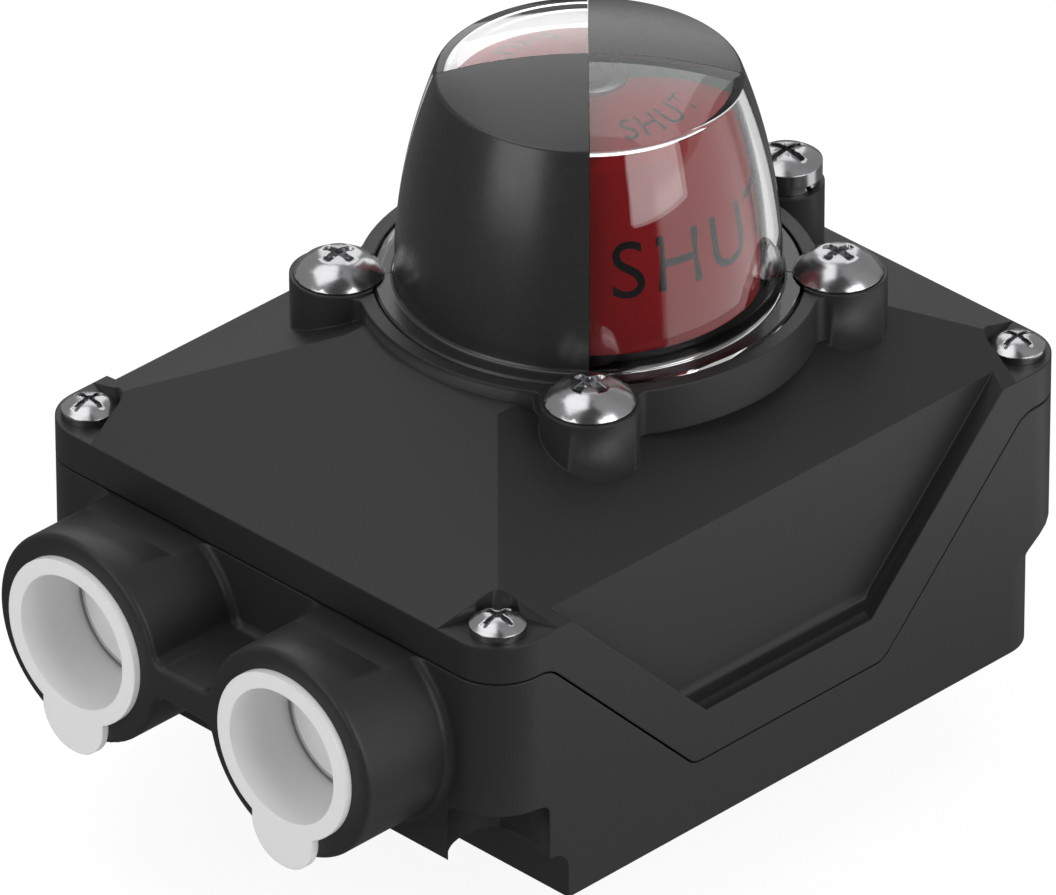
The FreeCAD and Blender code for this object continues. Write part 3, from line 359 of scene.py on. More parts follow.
def carved(bm, cutter):
    """The first bmesh with the second cut out of it."""
    pair = []
    for part in (bm, cutter):
        bmesh.ops.recalc_face_normals(part, faces=part.faces)
        blank = bpy.data.objects.new("blank", mesh_of(part, "blank"))
        bpy.context.scene.collection.objects.link(blank)
        pair.append(blank)
    cut = pair[0].modifiers.new("Cut", "BOOLEAN")
    cut.operation = "DIFFERENCE"
    cut.solver = "EXACT"
    cut.use_self = True
    cut.object = pair[1]
    bpy.context.view_layer.update()
    result = bpy.data.meshes.new_from_object(pair[0].evaluated_get(bpy.context.evaluated_depsgraph_get()))
    for blank in pair:
        bpy.data.objects.remove(blank)
    bm = bmesh.new()
    bm.from_mesh(result)
    return bm


def cross_cutter(bm, spot, top, span, width, depth, flare):
    """A driver's tip: two crossed tapering blades and a square cone between them."""
    for turn in (0.0, 90.0):
        blade = bmesh.ops.create_cube(bm, size=1.0)["verts"]
        for vert in blade:
            grow = 1.0 if vert.co.z > 0 else TIP_SPAN
            slim = 1.0 if vert.co.z > 0 else TIP_WIDTH
            vert.co = Vector((vert.co.x * span * grow, vert.co.y * width * slim, (vert.co.z - 0.5) * depth))
        bmesh.ops.rotate(bm, verts=blade, cent=(0, 0, 0), matrix=Matrix.Rotation(math.radians(turn), 3, "Z"))
        bmesh.ops.translate(bm, verts=blade, vec=Vector((spot[0], spot[1], top)))
    cone = bmesh.ops.create_cone(bm, cap_ends=True, segments=4, radius1=flare * CONE_TIP, radius2=flare,
                                 depth=depth * CONE_DEPTH)["verts"]
    bmesh.ops.translate(bm, verts=cone, vec=Vector((spot[0], spot[1], top - depth * CONE_DEPTH / 2)))


def repaint(node, finish):
    """Gives a CAD node a better material."""
    mesh = frame["nodes"][node].data
    mesh.materials.clear()
    mesh.materials.append(finish)


def spin_profile(bm, points, steps, start, sweep):
    """Spins a closed outline of (radius, z) points, in millimetres, about Z through part of a turn."""
    turn = Matrix.Rotation(math.radians(start), 3, "Z")
    corners = [bm.verts.new(turn @ Vector((r * MM, 0.0, z * MM))) for r, z in points]
    bmesh.ops.spin(bm, geom=[bm.faces.new(corners)], cent=(0, 0, 0), axis=(0, 0, 1), dvec=(0, 0, 0),
                   angle=math.radians(sweep), steps=steps, use_merge=False, use_normal_flip=False,
                   use_duplicate=False)
    bmesh.ops.remove_doubles(bm, verts=bm.verts, dist=WELD)


def arc(centre, radius, first, last, count):
    """Points on an arc in the (radius, z) plane, angles in degrees."""
    angles = [math.radians(first + (last - first) * i / count) for i in range(count + 1)]
    return [(centre[0] + radius * math.cos(a), centre[1] + radius * math.sin(a)) for a in angles]


# Settings


class HousingSettings(bpy.types.PropertyGroup):
    coat: FloatVectorProperty(name="Coat", description="Colour of the housings' powder coat",
                              default=(0.0165, 0.0165, 0.017), subtype="COLOR", min=0.0, max=1.0)
    coat_roughness: FloatProperty(name="Coat roughness", description="Roughness of the powder coat",
                                  default=0.46, min=0.0, max=1.0)
    coat_gloss: FloatProperty(name="Coat gloss", description="Strength of the powder coat's reflection",
                              default=0.32, min=0.0, max=1.0)
    edge_round: FloatProperty(name="Edge rounding", description="Width of the castings' rounded edges",
                              default=0.4 * MM, unit="LENGTH")


class BeaconSettings(bpy.types.PropertyGroup):
    clear: FloatVectorProperty(name="Clear quadrants", description="Tint of the clear quadrants",
                               default=(0.97, 0.975, 0.975), subtype="COLOR", min=0.0, max=1.0)
    black: FloatVectorProperty(name="Black quadrants", description="Colour of the black quadrants",
                               default=(0.018, 0.018, 0.019), subtype="COLOR", min=0.0, max=1.0)
    # Painted shade: the dark colour that the clear quadrants take where they are seen edge on
    clear_edge: FloatVectorProperty(name="Clear edges",
                                    description="Tint of the clear quadrants seen edge on",
                                    default=(0.07, 0.07, 0.07), subtype="COLOR", min=0.0, max=1.0)
    index: FloatProperty(name="Refraction", description="Index of refraction of the clear quadrants",
                         default=1.48)
    clear_gloss: FloatProperty(name="Clear gloss", description="Strength of the clear quadrants' reflection",
                               default=0.9, min=0.0, max=1.0)
    wall: FloatProperty(name="Wall", description="Thickness of the dome's side", default=2.0 * MM,
                        unit="LENGTH")
    top_wall: FloatProperty(name="Top", description="Thickness of the dome's top", default=1.6 * MM,
                            unit="LENGTH")
    rim_round: FloatProperty(name="Rim rounding", description="Radius of the rounded edge round the top",
                             default=0.8 * MM, unit="LENGTH")
    crown: FloatProperty(name="Crown", description="Height of the crowned top's middle above its rim",
                         default=3.1 * MM, unit="LENGTH")
    base_radius: FloatProperty(name="Base radius", description="Radius of the side above the flange",
                               default=26.4 * MM, unit="LENGTH")
    barrel: FloatProperty(name="Barrel radius", description="Radius of the side's barrel curve",
                          default=88.3 * MM, unit="LENGTH")
    seam: FloatProperty(name="Seam", description="Gap between neighbouring quadrants", default=0.15 * MM,
                        unit="LENGTH")


class DrumSettings(bpy.types.PropertyGroup):
    shut: FloatVectorProperty(name="Shut colour", description="Colour of the quadrants shown when shut",
                              default=(0.26, 0.01, 0.012), subtype="COLOR", min=0.0, max=1.0)
    open: FloatVectorProperty(name="Open colour", description="Colour of the quadrants shown when open",
                              default=(0.012, 0.12, 0.04), subtype="COLOR", min=0.0, max=1.0)
    ink: FloatVectorProperty(name="Ink", description="Colour of the printed words",
                             default=(0.012, 0.012, 0.012), subtype="COLOR", min=0.0, max=1.0)
    shut_word: StringProperty(name="Shut word", description="Word on the quadrants shown when shut",
                              default="SHUT")
    open_word: StringProperty(name="Open word", description="Word on the quadrants shown when open",
                              default="OPEN")
    side_letter: FloatProperty(name="Side letters", description="Height of the letters on the drum's side",
                               default=8.0 * MM, unit="LENGTH")
    top_letter: FloatProperty(name="Top letters", description="Height of the letters on the drum's top",
                              default=3.9 * MM, unit="LENGTH")
    side_word_height: FloatProperty(name="Side word height",
                                    description="Height of the side word's foot above the dome's flange",
                                    default=9.4 * MM, unit="LENGTH")
    hub: FloatProperty(name="Hub", description="Radius of the flat hub under the washer", default=8.6 * MM,
                       unit="LENGTH")
    crown: FloatProperty(name="Crown", description="Height of the hub above the rim of the drum's top",
                         default=2.6 * MM, unit="LENGTH")
    top_word_radius: FloatProperty(name="Top word radius",
                                   description="Radius of the line that the top word stands on",
                                   default=15.6 * MM, unit="LENGTH")


class ScrewSettings(bpy.types.PropertyGroup):
    steel: FloatVectorProperty(name="Steel", description="Colour of the polished screws",
                               default=(0.42, 0.42, 0.43), subtype="COLOR", min=0.0, max=1.0)
    polish: FloatProperty(name="Roughness", description="Roughness of the polished screws", default=0.21)
    edge_round: FloatProperty(name="Edge rounding", description="Width of the heads' rounded edges",
                              default=0.2 * MM, unit="LENGTH")
    dark_steel: FloatVectorProperty(name="Indicator steel", description="Colour of the indicator's screw",
                                    default=(0.012, 0.012, 0.012), subtype="COLOR", min=0.0, max=1.0)
    washer_steel: FloatVectorProperty(name="Washer steel",
                                      description="Colour of the washer under that screw",
                                      default=(0.3, 0.3, 0.3), subtype="COLOR", min=0.0, max=1.0)
    head: FloatProperty(name="Beacon screw head", description="Radius of the beacon screws' heads",
                        default=6.2 * MM, unit="LENGTH")
    recess_span: FloatProperty(name="Recess span", description="Span of the beacon screws' cross recess",
                               default=5.4 * MM, unit="LENGTH")
    recess_width: FloatProperty(name="Recess width", description="Width of each arm of the cross recess",
                                default=1.3 * MM, unit="LENGTH")
    recess_depth: FloatProperty(name="Recess depth", description="Depth of the beacon screws' cross recess",
                                default=1.8 * MM, unit="LENGTH")


class PlugSettings(bpy.types.PropertyGroup):
    plastic: FloatVectorProperty(name="Plastic", description="Colour of the transit plugs",
                                 default=(0.76, 0.76, 0.76), subtype="COLOR", min=0.0, max=1.0)
    edge_round: FloatProperty(name="Edge rounding", description="Width of the plugs' rounded edges",
                              default=0.3 * MM, unit="LENGTH")
    cup_floor: FloatProperty(name="Cup floor",
                             description="Thickness of the plug's end, which holds the groove",
                             default=2.3 * MM, unit="LENGTH")
    # The groove's dark ring is painted shade: its inner radius, and the share of the plastic's colour left in
    # it
    groove_radius: FloatProperty(name="Groove radius", description="Inner radius of the groove's dark ring",
                                 default=8.75 * MM, unit="LENGTH")
    groove_shade: FloatProperty(name="Groove shade", description="Share of the colour left in the groove",
                                default=0.6, min=0.0, max=1.0)


class StageSettings(bpy.types.PropertyGroup):
    azimuth: FloatProperty(name="Azimuth", description="Camera's direction round the box, from the front",
                           default=math.radians(44.932), subtype="ANGLE")
    elevation: FloatProperty(name="Elevation", description="Camera's height above the horizon",
                             default=math.radians(31.523), subtype="ANGLE")
    roll: FloatProperty(name="Roll", description="Camera's turn about its own line of sight",
                        default=math.radians(-0.132), subtype="ANGLE")
    distance: FloatProperty(name="Distance", description="Distance from the camera to the dome's seat",
                            default=2065.925 * MM, unit="LENGTH")
    focal_pixels: FloatProperty(name="Focal length", description="Focal length in pixels of the photograph",
                                default=15267.38)
    centre_x: FloatProperty(name="Centre X", description="Pixel where the dome's seat is seen, across",
                            default=588.953)
    centre_y: FloatProperty(name="Centre Y", description="Pixel where the dome's seat is seen, down",
                            default=271.567)
    seat_height: FloatProperty(name="Seat height", description="Height of the dome's seat above the foot",
                               default=DOME_SEAT * MM, unit="LENGTH")
    floor: FloatProperty(name="Floor", description="Diffuse brightness of the floor", default=0.8)
    floor_glow: FloatProperty(name="Floor glow", description="Light that the camera sees from the floor",
                              default=0.9)
    floor_gloss: FloatProperty(name="Floor in gloss", description="Light that gloss sees from the floor",
                               default=0.18)
    card_gloss: FloatProperty(name="Card in gloss",
                              description="Light that gloss and glass see from the bright part of the floor",
                              default=1.3)
    near_gloss: FloatProperty(name="Floor beside the box",
                              description="Light that gloss sees from the floor close on the right",
                              default=0.45)
    card_from: FloatProperty(name="Card from", description="Bearing where the floor's bright part begins",
                             default=math.radians(-2.0), subtype="ANGLE")
    card_to: FloatProperty(name="Card to", description="Bearing where the floor's bright part ends",
                           default=math.radians(64.0), subtype="ANGLE")
    card_near: FloatProperty(name="Card distance", description="Distance from the box to the bright part",
                             default=120.0 * MM, unit="LENGTH")
    world: FloatProperty(name="Ambient", description="Strength of the even light from all round",
                         default=0.34)
    world_gloss: FloatProperty(name="Ambient in gloss", description="Light that gloss sees all round",
                               default=0.42)
    world_dark: FloatProperty(name="Dark side",
                              description="Light that gloss and glass see in front, left of the card",
                              default=0.07)
    world_card: FloatProperty(name="Light side", description="Light that gloss and glass see above the card",
                              default=0.5)
    dark_from: FloatProperty(name="Dark from", description="Bearing where the dark side begins",
                             default=math.radians(-78.0), subtype="ANGLE")
    key: FloatProperty(name="Key lamp", description="Power of the lamp on the right", default=8.4,
                       unit="POWER")
    front: FloatProperty(name="Front lamp", description="Power of the low lamp in front", default=1.9,
                         unit="POWER")
    back: FloatProperty(name="Back lamp", description="Power of the lamp behind on the left", default=2.8,
                        unit="POWER")
    top: FloatProperty(name="Top lamp", description="Power of the lamp overhead", default=3.3, unit="POWER")


# Operators


class SWITCHBOX_OT_stage(bpy.types.Operator):
    """Lays the floor, hangs the lamps and sets the camera at the photograph's angle"""

    bl_idname = "switchbox.stage"
    bl_label = "Stage"

    def execute(self, context):
        settings = context.scene.switchbox_stage
        self.lay_floor(settings)
        self.light_world(context, settings)
        self.hang_lamps(settings)
        self.set_camera(context, settings)
        context.scene.view_settings.view_transform = "Standard"
        return {"FINISHED"}

    def surroundings(self, finish, settings, even, dark, light):
        """A grey by bearing from the box: dark in front, light on the right and even elsewhere."""
        east, north = finish.axes()[:2]
        bearing = finish.calculate("ARCTAN2", north, east)
        stops = []
        for angle, blur, before, after in ((settings.dark_from, 0.01, even, dark),
                                           (settings.card_from, 0.003, dark, light),
                                           (settings.card_to, 0.006, light, even)):
            share = 0.5 + angle / math.tau
            stops += [(share - blur, grey(before)), (share + blur, grey(after))]
        return finish.stops(bearing / math.tau + 0.5, stops)

    def lay_floor(self, settings):
        """A pale floor, which shows camera, gloss and glass each its own light."""
        blend = 0.15
        side_blend = 0.1
        camera_share = 0.2
        half_width = 30.0
        finish = Finish("Pale floor")
        even = settings.floor_gloss
        card = settings.card_gloss
        dark = settings.world_dark
        gloss = self.surroundings(finish, settings, even, dark, card)
        away = finish.node("ShaderNodeVectorMath", {"operation": "LENGTH"}, {0: finish.place}, "Value")
        far = finish.ramp(away, settings.card_near * (1 - blend), settings.card_near * (1 + blend))
        side = CAD_BOX[1].x
        near = finish.ramp(finish.axes()[0], side * (1 - side_blend), side * (1 + side_blend),
                           grey(even), grey(settings.near_gloss))
        gloss = finish.mix(far, near, gloss)
        through = self.surroundings(finish, settings, settings.floor_glow, dark, card)
        camera = finish.ray("Is Camera Ray")
        glossy = finish.ray("Is Glossy Ray")
        passed = finish.ray("Is Transmission Ray")
        mirrored = finish.calculate("MAXIMUM", glossy, passed)
        glow = finish.mix(glossy, grey(0.0), gloss)
        glow = finish.mix(passed, glow, through)
        glow = finish.mix(camera, glow, grey(settings.floor_glow))
        base = finish.mix(mirrored, grey(settings.floor), grey(0.0))
        shader = finish.node("ShaderNodeBsdfPrincipled", None, {
            "Base Color": finish.mix(camera, base, grey(settings.floor * camera_share)),
            "Roughness": 0.9,
            "Specular IOR Level": 0.0,
            "Emission Color": glow,
            "Emission Strength": 1.0,
        }, "BSDF")
        finish.node_output(shader)
        bm = bmesh.new()
        bmesh.ops.create_grid(bm, x_segments=1, y_segments=1, size=half_width)
        bmesh.ops.translate(bm, verts=bm.verts, vec=(0.0, 0.0, CAD_BOX[0].z))
        floor = bpy.data.objects.new("floor", mesh_of(bm, "floor"))
        floor.data.materials.append(finish.material)
        bpy.context.scene.collection.objects.link(floor)

    def light_world(self, context, settings):
        """An even light all round, with a dark and a light side in gloss and glass."""
        sky = Finish("Pale studio", bpy.data.worlds)
        dark = settings.world_dark
        light = settings.world_card
        gloss = self.surroundings(sky, settings, settings.world_gloss, dark, light)
        through = self.surroundings(sky, settings, 1.0, dark, light)
        colour = sky.mix(sky.ray("Is Glossy Ray"), grey(settings.world), gloss)
        colour = sky.mix(sky.ray("Is Transmission Ray"), colour, through)
        colour = sky.mix(sky.ray("Is Camera Ray"), colour, WHITE)
        shader = sky.node("ShaderNodeBackground", None, {"Color": colour, "Strength": 1.0}, "Background")
        sky.node_output(shader, "ShaderNodeOutputWorld")
        context.scene.world = sky.material

    def hang_lamps(self, settings):
        """Four area lamps, each with its spot, width and height in metres, turned to the box."""
        aim = Vector((0.0, 0.0, 40.0 * MM))
        for name, spot, width, height, power in (
                ("key_lamp", (1.0, 0.0, 0.36), 0.75, 1.1, settings.key),
                ("front_lamp", (-0.05, -0.8, 0.25), 0.5, 0.5, settings.front),
                ("back_lamp", (-0.58, 0.58, 0.66), 0.65, 1.1, settings.back),
                ("top_lamp", (-0.3, -0.3, 1.0), 0.8, 0.8, settings.top)):
            data = bpy.data.lights.new(name, "AREA")
            data.shape = "RECTANGLE"
            data.size = width
            data.size_y = height
            data.energy = power
            lamp = bpy.data.objects.new(name, data)
            lamp.location = spot
            lamp.rotation_mode = "QUATERNION"
            lamp.rotation_quaternion = (aim - Vector(spot)).to_track_quat("-Z", "Y")
            lamp.visible_camera = False
            bpy.context.scene.collection.objects.link(lamp)

    def set_camera(self, context, settings):
        """The camera that sees the dome's seat at its place in the photograph."""
        azimuth = settings.azimuth
        elevation = settings.elevation
        roll = settings.roll
        back = Vector((math.sin(azimuth) * math.cos(elevation), -math.cos(azimuth) * math.cos(elevation),
                       math.sin(elevation)))
        right = Vector((math.cos(azimuth), math.sin(azimuth), 0.0))
        up = back.cross(right)
        per_pixel = settings.distance / settings.focal_pixels
        across = (settings.centre_x - IMAGE_WIDTH / 2) * per_pixel
        down = (settings.centre_y - IMAGE_HEIGHT / 2) * per_pixel
        data = bpy.data.cameras.new("camera")
        data.sensor_width = SENSOR_WIDTH
        data.lens = settings.focal_pixels / IMAGE_WIDTH * SENSOR_WIDTH
        data.clip_start = 0.05
        data.clip_end = 100.0
        camera = bpy.data.objects.new("camera", data)
        side = right * math.cos(roll) + up * math.sin(roll)
        top = up * math.cos(roll) - right * math.sin(roll)
        camera.matrix_world = Matrix.Translation(
            back * settings.distance - right * across + up * down + Vector((0.0, 0.0, settings.seat_height))
        ) @ Matrix((side, top, back)).transposed().to_4x4()
        context.scene.collection.objects.link(camera)
        context.scene.camera = camera


class SWITCHBOX_OT_housings(bpy.types.Operator):
    """Coats the base and the cover and rounds their edges"""

    bl_idname = "switchbox.housings"
    bl_label = "Housings"

    def execute(self, context):
        settings = context.scene.switchbox_housing
        coat = powder_coat("Satin black powder coat", settings.coat, settings.coat_roughness,
                           settings.coat_gloss, settings.edge_round)
        for node in ("base_housing", "cover_housing"):
            dressed(node, coat, 25.0)
        rubber = moulded("Black nitrile rubber", (0.02, 0.02, 0.02), 0.6)
        for node in ("cover_gasket", "dome_seal", "shaft_seal"):
            repaint(node, rubber)
        return {"FINISHED"}


class SWITCHBOX_OT_beacon(bpy.types.Operator):
    """Spins the dome's clear and black quadrants"""

    bl_idname = "switchbox.beacon"
    bl_label = "Beacon dome"

    def execute(self, context):
        settings = context.scene.switchbox_beacon
        clear = clear_plastic("Clear polycarbonate", settings.clear, settings.clear_edge, settings.index,
                              settings.clear_gloss)
        black = moulded("Satin black polycarbonate", settings.black, 0.27, 300.0, 0.0, edge=0.0)
        piece = self.quadrants("dome_clear_quadrants", clear, "dome_clear", (-45.0, 135.0), settings)
        self.seams(piece, black)
        self.quadrants("dome_black_quadrants", black, "dome_black", (45.0, 225.0), settings)
        return {"FINISHED"}

    def outline(self, settings):
        """The dome's section as (radius, z) points, in millimetres."""
        flange_height = 2.9
        fillet = 0.6
        foot_chamfer = 0.25
        flange_chamfer = 0.3
        rim_from = 20.0
        rim_to = 73.0
        rim_drop = 0.6
        steps = 20
        low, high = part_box("dome_clear")
        seat = low.z / MM
        top = high.z / MM
        flange = high.x / MM
        base = settings.base_radius / MM
        barrel = settings.barrel / MM
        wall = settings.wall / MM
        flange_top = seat + flange_height
        crown = settings.crown / MM
        rim = settings.rim_round / MM
        shoulder = top - crown - rim_drop * rim

        def side(offset, z):
            return base - barrel + math.sqrt((barrel - offset) ** 2 - (z - DOME_SEAT) ** 2)

        def crowned(edge, high, count):
            """Points over a crowned plate, from its rim to its middle."""
            return [(edge * (1 - i / count), high - crown * (1 - i / count) ** 2) for i in range(count + 1)]

        foot = flange_top + fillet
        outer = [(side(0.0, z), z) for z in [foot + (shoulder - foot) * i / steps for i in range(steps + 1)]]
        edge = outer[-1][0]
        slope = math.radians(rim_from)
        turn = (edge - rim * math.cos(slope), shoulder - rim * math.sin(slope))
        corner = arc(turn, rim, rim_from, rim_to, 5)[1:]
        inner_top = top - settings.top_wall / MM
        inner_shoulder = inner_top - crown
        inner = [(side(wall, z), z) for z in
                 [seat + (inner_shoulder - seat) * i / steps for i in range(steps + 1)]]
        points = [(flange - foot_chamfer, seat), (flange, seat + foot_chamfer),
                  (flange, flange_top - flange_chamfer), (flange - flange_chamfer, flange_top)]
        points += arc((base + fillet, flange_top + fillet), fillet, 270.0, 180.0, 4)
        points += outer + corner + crowned(corner[-1][0], top, 12)[1:]
        points += crowned(inner[-1][0], inner_top, 12)[::-1]
        points += inner[::-1][1:]
        return points

    def quadrants(self, name, finish, node, starts, settings):
        """Two opposite quadrants as one piece, a seam's width short of the other two."""
        bm = bmesh.new()
        half_gap = math.degrees(settings.seam / settings.base_radius) / 2
        for start in starts:
            spin_profile(bm, self.outline(settings), 40, start + half_gap, 90.0 - 2 * half_gap)
        return place(bm, name, finish, "cover", (node,), 25.0)

    def seams(self, piece, finish):
        """Blackens the end faces, the only ones with many corners, where two quadrants are joined."""
        piece.data.materials.append(finish)
        for face in piece.data.polygons:
            if len(face.vertices) > 4:
                face.material_index = 1


class SWITCHBOX_OT_drum(bpy.types.Operator):
    """Spins the drum's quadrants and prints the words on side and top"""

    bl_idname = "switchbox.drum"
    bl_label = "Indicator drum"

    def execute(self, context):
        settings = context.scene.switchbox_drum
        beacon = context.scene.switchbox_beacon
        low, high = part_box("indicator_drum_shut")
        self.top = high.z / MM
        self.bottom = low.z / MM
        self.offset = (beacon.wall / MM) + DRUM_GAP
        self.base = beacon.base_radius / MM
        self.barrel = beacon.barrel / MM
        self.hub = settings.hub / MM
        self.crown = settings.crown / MM
        self.rim = self.side(self.top - self.crown)
        shut = moulded("Red moulded plastic", settings.shut, 0.5, 300.0, 0.0, 0.0)
        opened = moulded("Green moulded plastic", settings.open, 0.5, 300.0, 0.0, 0.0)
        self.quadrants("drum_shut_quadrants", shut, "indicator_drum_shut", (-45.0, 135.0))
        self.quadrants("drum_open_quadrants", opened, "indicator_drum_open", (45.0, 225.0))
        ink = moulded("Printed ink", settings.ink, 0.5, 300.0, 0.0, 0.0, 0.0)
        for word, centres in ((settings.shut_word, (0.0, 180.0)), (settings.open_word, (90.0, 270.0))):
            for centre in centres:
                tag = word.lower() + "_" + str(int(centre))
                self.side_word("side_word_" + tag, word, centre, settings, ink)
                self.top_word("top_word_" + tag, word, centre, settings, ink)
        return {"FINISHED"}

    def plate(self, radius):
        """Height of the drum's top: flat at the hub and falling to the rim."""
        share = max(radius - self.hub, 0.0) / (self.rim - self.hub)
        return self.top - self.crown * share ** 2

    def side(self, z, offset=0.0):
        """Radius of the drum's side at a height, by the dome's own barrel curve."""
        radius = self.barrel - self.offset - offset
        return self.base - self.barrel + math.sqrt(radius ** 2 - (z - DOME_SEAT) ** 2)

    def quadrants(self, name, finish, node, starts):
        """Two opposite quadrants as one hollow piece."""
        wall = 1.5
        chamfer = 0.3
        hole_radius = 2.1
        side_steps = 16
        top_steps = 8
        rim_height = self.top - self.crown - chamfer
        height = rim_height - self.bottom
        heights = [self.bottom + height * i / side_steps for i in range(side_steps + 1)]
        outer = [(self.side(z), z) for z in heights]
        inner = [(self.side(z, wall), z - wall * (z - self.bottom) / height) for z in heights]
        edge = self.rim - chamfer
        radii = [edge + (self.hub - edge) * i / top_steps for i in range(top_steps + 1)]
        top = [(radius, self.plate(radius)) for radius in radii] + [(hole_radius, self.top)]
        under = [(radius, z - wall) for radius, z in top if radius < inner[-1][0] - chamfer]
        points = outer + top + under[::-1] + inner[::-1]
        bm = bmesh.new()
        for start in starts:
            spin_profile(bm, points, 32, start, 90.0)
        place(bm, name, finish, "indicator", (node,), 25.0)

    def letters(self, word, height):
        """A flat mesh of the word in millimetres, centred across, its letters standing on y 0."""
        data = bpy.data.curves.new(word, "FONT")
        data.body = word
        data.size = 1.0
        data.space_character = LETTER_SPACING
        data.align_x = "CENTER"
        data.resolution_u = 6
        text = bpy.data.objects.new(word, data)
        bpy.context.scene.collection.objects.link(text)
        bpy.context.view_layer.update()
        mesh = bpy.data.meshes.new_from_object(text.evaluated_get(bpy.context.evaluated_depsgraph_get()))
        bpy.data.objects.remove(text)
        bm = bmesh.new()
        bm.from_mesh(mesh)
        tall = max(v.co.y for v in bm.verts) - min(v.co.y for v in bm.verts)
        bmesh.ops.scale(bm, vec=Vector((1.0, 1.0, 1.0)) * (height / tall), verts=bm.verts)
        foot = min(v.co.y for v in bm.verts)
        bmesh.ops.translate(bm, vec=(0.0, -foot, 0.0), verts=bm.verts)
        cuts = int(max(v.co.x for v in bm.verts) / LETTER_CUT)
        for i in range(-cuts, cuts + 1):
            bmesh.ops.bisect_plane(bm, geom=bm.verts[:] + bm.edges[:] + bm.faces[:],
                                   plane_co=(i * LETTER_CUT, 0, 0), plane_no=(1, 0, 0))
        return bm

    def side_word(self, name, word, centre, settings, ink):
        """A word wrapped round the drum's side."""
        bm = self.letters(word, settings.side_letter / MM)
        foot = DOME_SEAT + settings.side_word_height / MM
        for vert in bm.verts:
            z = foot + vert.co.y
            radius = self.side(z) + INK_LIFT
            angle = math.radians(centre) + vert.co.x / self.side(foot)
            vert.co = Vector((radius * math.cos(angle), radius * math.sin(angle), z)) * MM
        place(bm, name, ink, "indicator")

    def top_word(self, name, word, centre, settings, ink):
        """A word along the rim of the drum's top."""
        bm = self.letters(word, settings.top_letter / MM)
        line = settings.top_word_radius / MM
        for vert in bm.verts:
            radius = line - vert.co.y
            angle = math.radians(centre) + vert.co.x / line
            z = self.plate(radius) + INK_LIFT
            vert.co = Vector((radius * math.cos(angle), radius * math.sin(angle), z)) * MM
        place(bm, name, ink, "indicator")


class SWITCHBOX_OT_screws(bpy.types.Operator):
    """Polishes the screws and washers"""

    bl_idname = "switchbox.screws"
    bl_label = "Screws"

    def execute(self, context):
        settings = context.scene.switchbox_screws
        steel = metal("Polished stainless steel", settings.steel, settings.polish, edge=settings.edge_round)
        dark = metal("Indicator screw steel", settings.dark_steel, 0.5, edge=settings.edge_round)
        for node in ("cover_screws", "earth_screw", "earth_spring_washer"):
            dressed(node, steel, 35.0)
        dressed("indicator_screw", dark, 35.0)
        dressed("indicator_washer", metal("Indicator washer steel", settings.washer_steel, 0.4), 35.0)
        self.beacon_screws(steel, settings)
        for node in ("bracket_screws", "switch_screws", "terminal_block_screws", "terminal_screws",
                     "inner_earth_screw"):
            repaint(node, steel)
        return {"FINISHED"}

    def beacon_screws(self, steel, settings):
        """The four screws beside the dome, with a wide flared cross recess in each head."""
        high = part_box("beacon_screws")[1]
        reach = high.x - settings.head
        mouth = high.z + 0.2 * MM
        flare = settings.recess_width * 1.15
        cutter = bmesh.new()
        for side in (-1, 1):
            for end in (-1, 1):
                cross_cutter(cutter, (side * reach, end * reach), mouth, settings.recess_span,
                             settings.recess_width, settings.recess_depth, flare)
        bm = carved(merged("beacon_screws"), cutter)
        place(bm, "beacon_screws_recessed", steel, "cover", ("beacon_screws",),
              35.0)


class SWITCHBOX_OT_plugs(bpy.types.Operator):
    """Finishes the transit plugs of the conduit entries"""

    bl_idname = "switchbox.plugs"
    bl_label = "Transit plugs"

    def execute(self, context):
        settings = context.scene.switchbox_plugs
        plastic = self.polyethylene(settings)
        for node in ("transit_plug_left", "transit_plug_right"):
            dressed(node, plastic)
        return {"FINISHED"}

    def polyethylene(self, settings):
        """Light plastic, with painted shade in the groove round the floor of each cup."""
        blur = 0.4 * MM
        low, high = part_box("transit_plug_left")
        end = high.y - settings.cup_floor
        centre_x = (low.x + high.x) / 2
        centre_z = high.z - (high.x - low.x) / 2
        finish = Finish("Light grey polyethylene")
        across, along, height = finish.axes()
        aside = finish.calculate("ABSOLUTE", across) - abs(centre_x)
        above = height - centre_z
        radius = (aside * aside + above * above) ** 0.5
        # Painted shade: the groove round each cup's floor and the last of the wall before it are darkened to
        # a share of the plastic's colour
        behind = finish.ramp((along - end) / blur + 0.5, 0.2, 0.4)
        painted_shade_ring = finish.ramp((radius - settings.groove_radius) / blur + 0.5, 0.4, 0.6)
        grain = finish.noise(900.0)
        return finish.surface({
            "Base Color": finish.mix(behind * painted_shade_ring, opaque(settings.plastic),
                                     opaque(settings.plastic, settings.groove_shade)),
            "Roughness": finish.about(0.45, grain, 0.1),
            "Normal": finish.bump(grain, 0.05, GRAIN_DEPTH, settings.edge_round),
        })


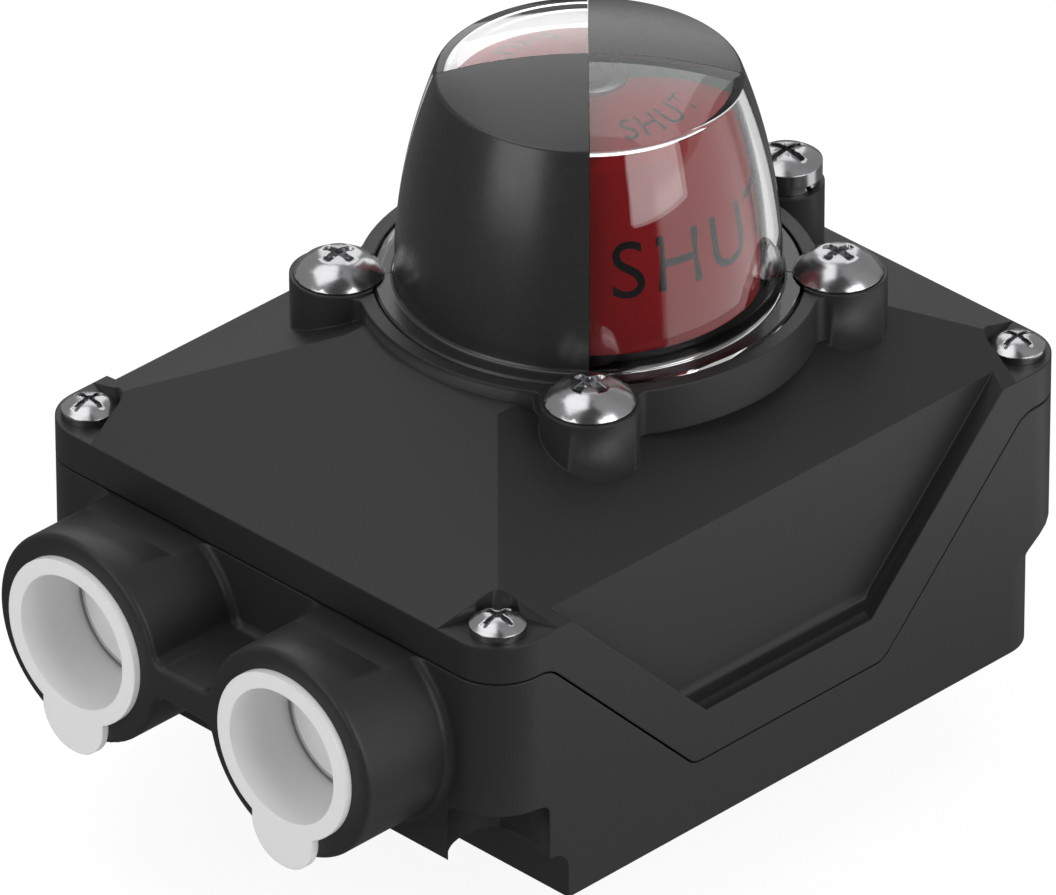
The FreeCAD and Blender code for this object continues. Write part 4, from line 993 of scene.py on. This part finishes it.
class SWITCHBOX_OT_inside(bpy.types.Operator):
    """Finishes shaft, cams, switches and terminal strip"""

    bl_idname = "switchbox.inside"
    bl_label = "Inner parts"

    def execute(self, context):
        steel = metal("Turned steel", (0.5, 0.5, 0.51), 0.3)
        plated = metal("Zinc-plated sheet", (0.55, 0.54, 0.5), 0.35, (900.0, 900.0, 900.0))
        bronze = metal("Sintered bronze", (0.42, 0.26, 0.12), 0.45, (1500.0, 1500.0, 1500.0))
        brass = metal("Nickel-plated brass", (0.66, 0.6, 0.46), 0.28)
        finishes = {
            steel: ("main_shaft", "cam_clip", "spindle_clip", "lever_pins"),
            plated: ("switch_bracket", "lower_lever", "upper_lever"),
            bronze: ("shaft_bush",),
            brass: ("terminal_clamps", "lower_switch_terminals", "upper_switch_terminals",
                    "inner_earth_washer"),
            moulded("Natural acetal", (0.72, 0.72, 0.68), 0.4): ("cover_bush",),
            moulded("Black nylon", (0.025, 0.025, 0.027), 0.5): ("indicator_spindle", "screw_retainers"),
            moulded("Light grey polyamide", (0.45, 0.46, 0.45), 0.5): ("terminal_block",),
            moulded("Red acetal", (0.42, 0.03, 0.025), 0.38): ("lower_cam", "lower_plunger", "upper_plunger"),
            moulded("Green acetal", (0.03, 0.27, 0.08), 0.38): ("upper_cam",),
            moulded("Dark phenolic", (0.035, 0.038, 0.045), 0.42): ("lower_switch_body", "upper_switch_body"),
            moulded("Brown pressboard", (0.3, 0.18, 0.09), 0.7, 1500.0, 0.2): ("switch_insulator",),
        }
        for finish, nodes in finishes.items():
            for node in nodes:
                dressed(node, finish)
        self.spring(steel)
        return {"FINISHED"}

    def spring(self, finish):
        """The spring between the cams in two halves, each of which rides on the shaft."""
        low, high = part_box("cam_spring")
        middle = (low.z + high.z) / 2
        travel = {joint["name"]: joint["range_m"][1] for joint in frame["record"]["behaviour"]["joints"]
                  if "range_m" in joint}
        for side in ("lower", "upper"):
            bm = merged("cam_spring")
            bmesh.ops.bisect_plane(bm, geom=bm.verts[:] + bm.edges[:] + bm.faces[:],
                                   plane_co=(0, 0, middle), plane_no=(0, 0, 1),
                                   clear_outer=side == "lower", clear_inner=side == "upper")
            bmesh.ops.edgeloop_fill(bm, edges=[edge for edge in bm.edges if edge.is_boundary])
            piece = place(bm, "cam_spring_" + side, finish, "shaft", ("cam_spring",))
            joint = side + "_cam_slide"
            1.0 - travel[joint] / (middle - low.z)
            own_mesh(piece)


class SWITCHBOX_PT_panel(bpy.types.Panel):
    """Lists the operators in the sidebar"""

    bl_idname = "SWITCHBOX_PT_panel"
    bl_label = "Valve limit switch box"
    bl_space_type = "VIEW_3D"
    bl_region_type = "UI"
    bl_category = "Switch Box"

    def draw(self, context):
        for operator in OPERATORS:
            self.layout.operator(operator.bl_idname)
        for name in SETTINGS:
            box = self.layout.box()
            group = getattr(context.scene, name)
            for key in group.bl_rna.properties.keys():
                if key not in ("rna_type", "name"):
                    box.prop(group, key)


SETTINGS = {
    "switchbox_stage": StageSettings,
    "switchbox_housing": HousingSettings,
    "switchbox_beacon": BeaconSettings,
    "switchbox_drum": DrumSettings,
    "switchbox_screws": ScrewSettings,
    "switchbox_plugs": PlugSettings,
}
OPERATORS = (
    SWITCHBOX_OT_stage,
    SWITCHBOX_OT_housings,
    SWITCHBOX_OT_beacon,
    SWITCHBOX_OT_drum,
    SWITCHBOX_OT_screws,
    SWITCHBOX_OT_plugs,
    SWITCHBOX_OT_inside,
)


def register():
    for cls in (*SETTINGS.values(), *OPERATORS, SWITCHBOX_PT_panel):
        bpy.utils.register_class(cls)
    for name, cls in SETTINGS.items():
        setattr(bpy.types.Scene, name, PointerProperty(type=cls))


def unregister():
    for name in SETTINGS:
        delattr(bpy.types.Scene, name)
    for cls in (SWITCHBOX_PT_panel, *reversed(OPERATORS), *reversed(SETTINGS.values())):
        bpy.utils.unregister_class(cls)


def main():
    register()
    bpy.ops.switchbox.stage()
    bpy.ops.switchbox.housings()
    bpy.ops.switchbox.beacon()
    bpy.ops.switchbox.drum()
    bpy.ops.switchbox.screws()
    bpy.ops.switchbox.plugs()
    bpy.ops.switchbox.inside()


if __name__ == "__main__":
    main()
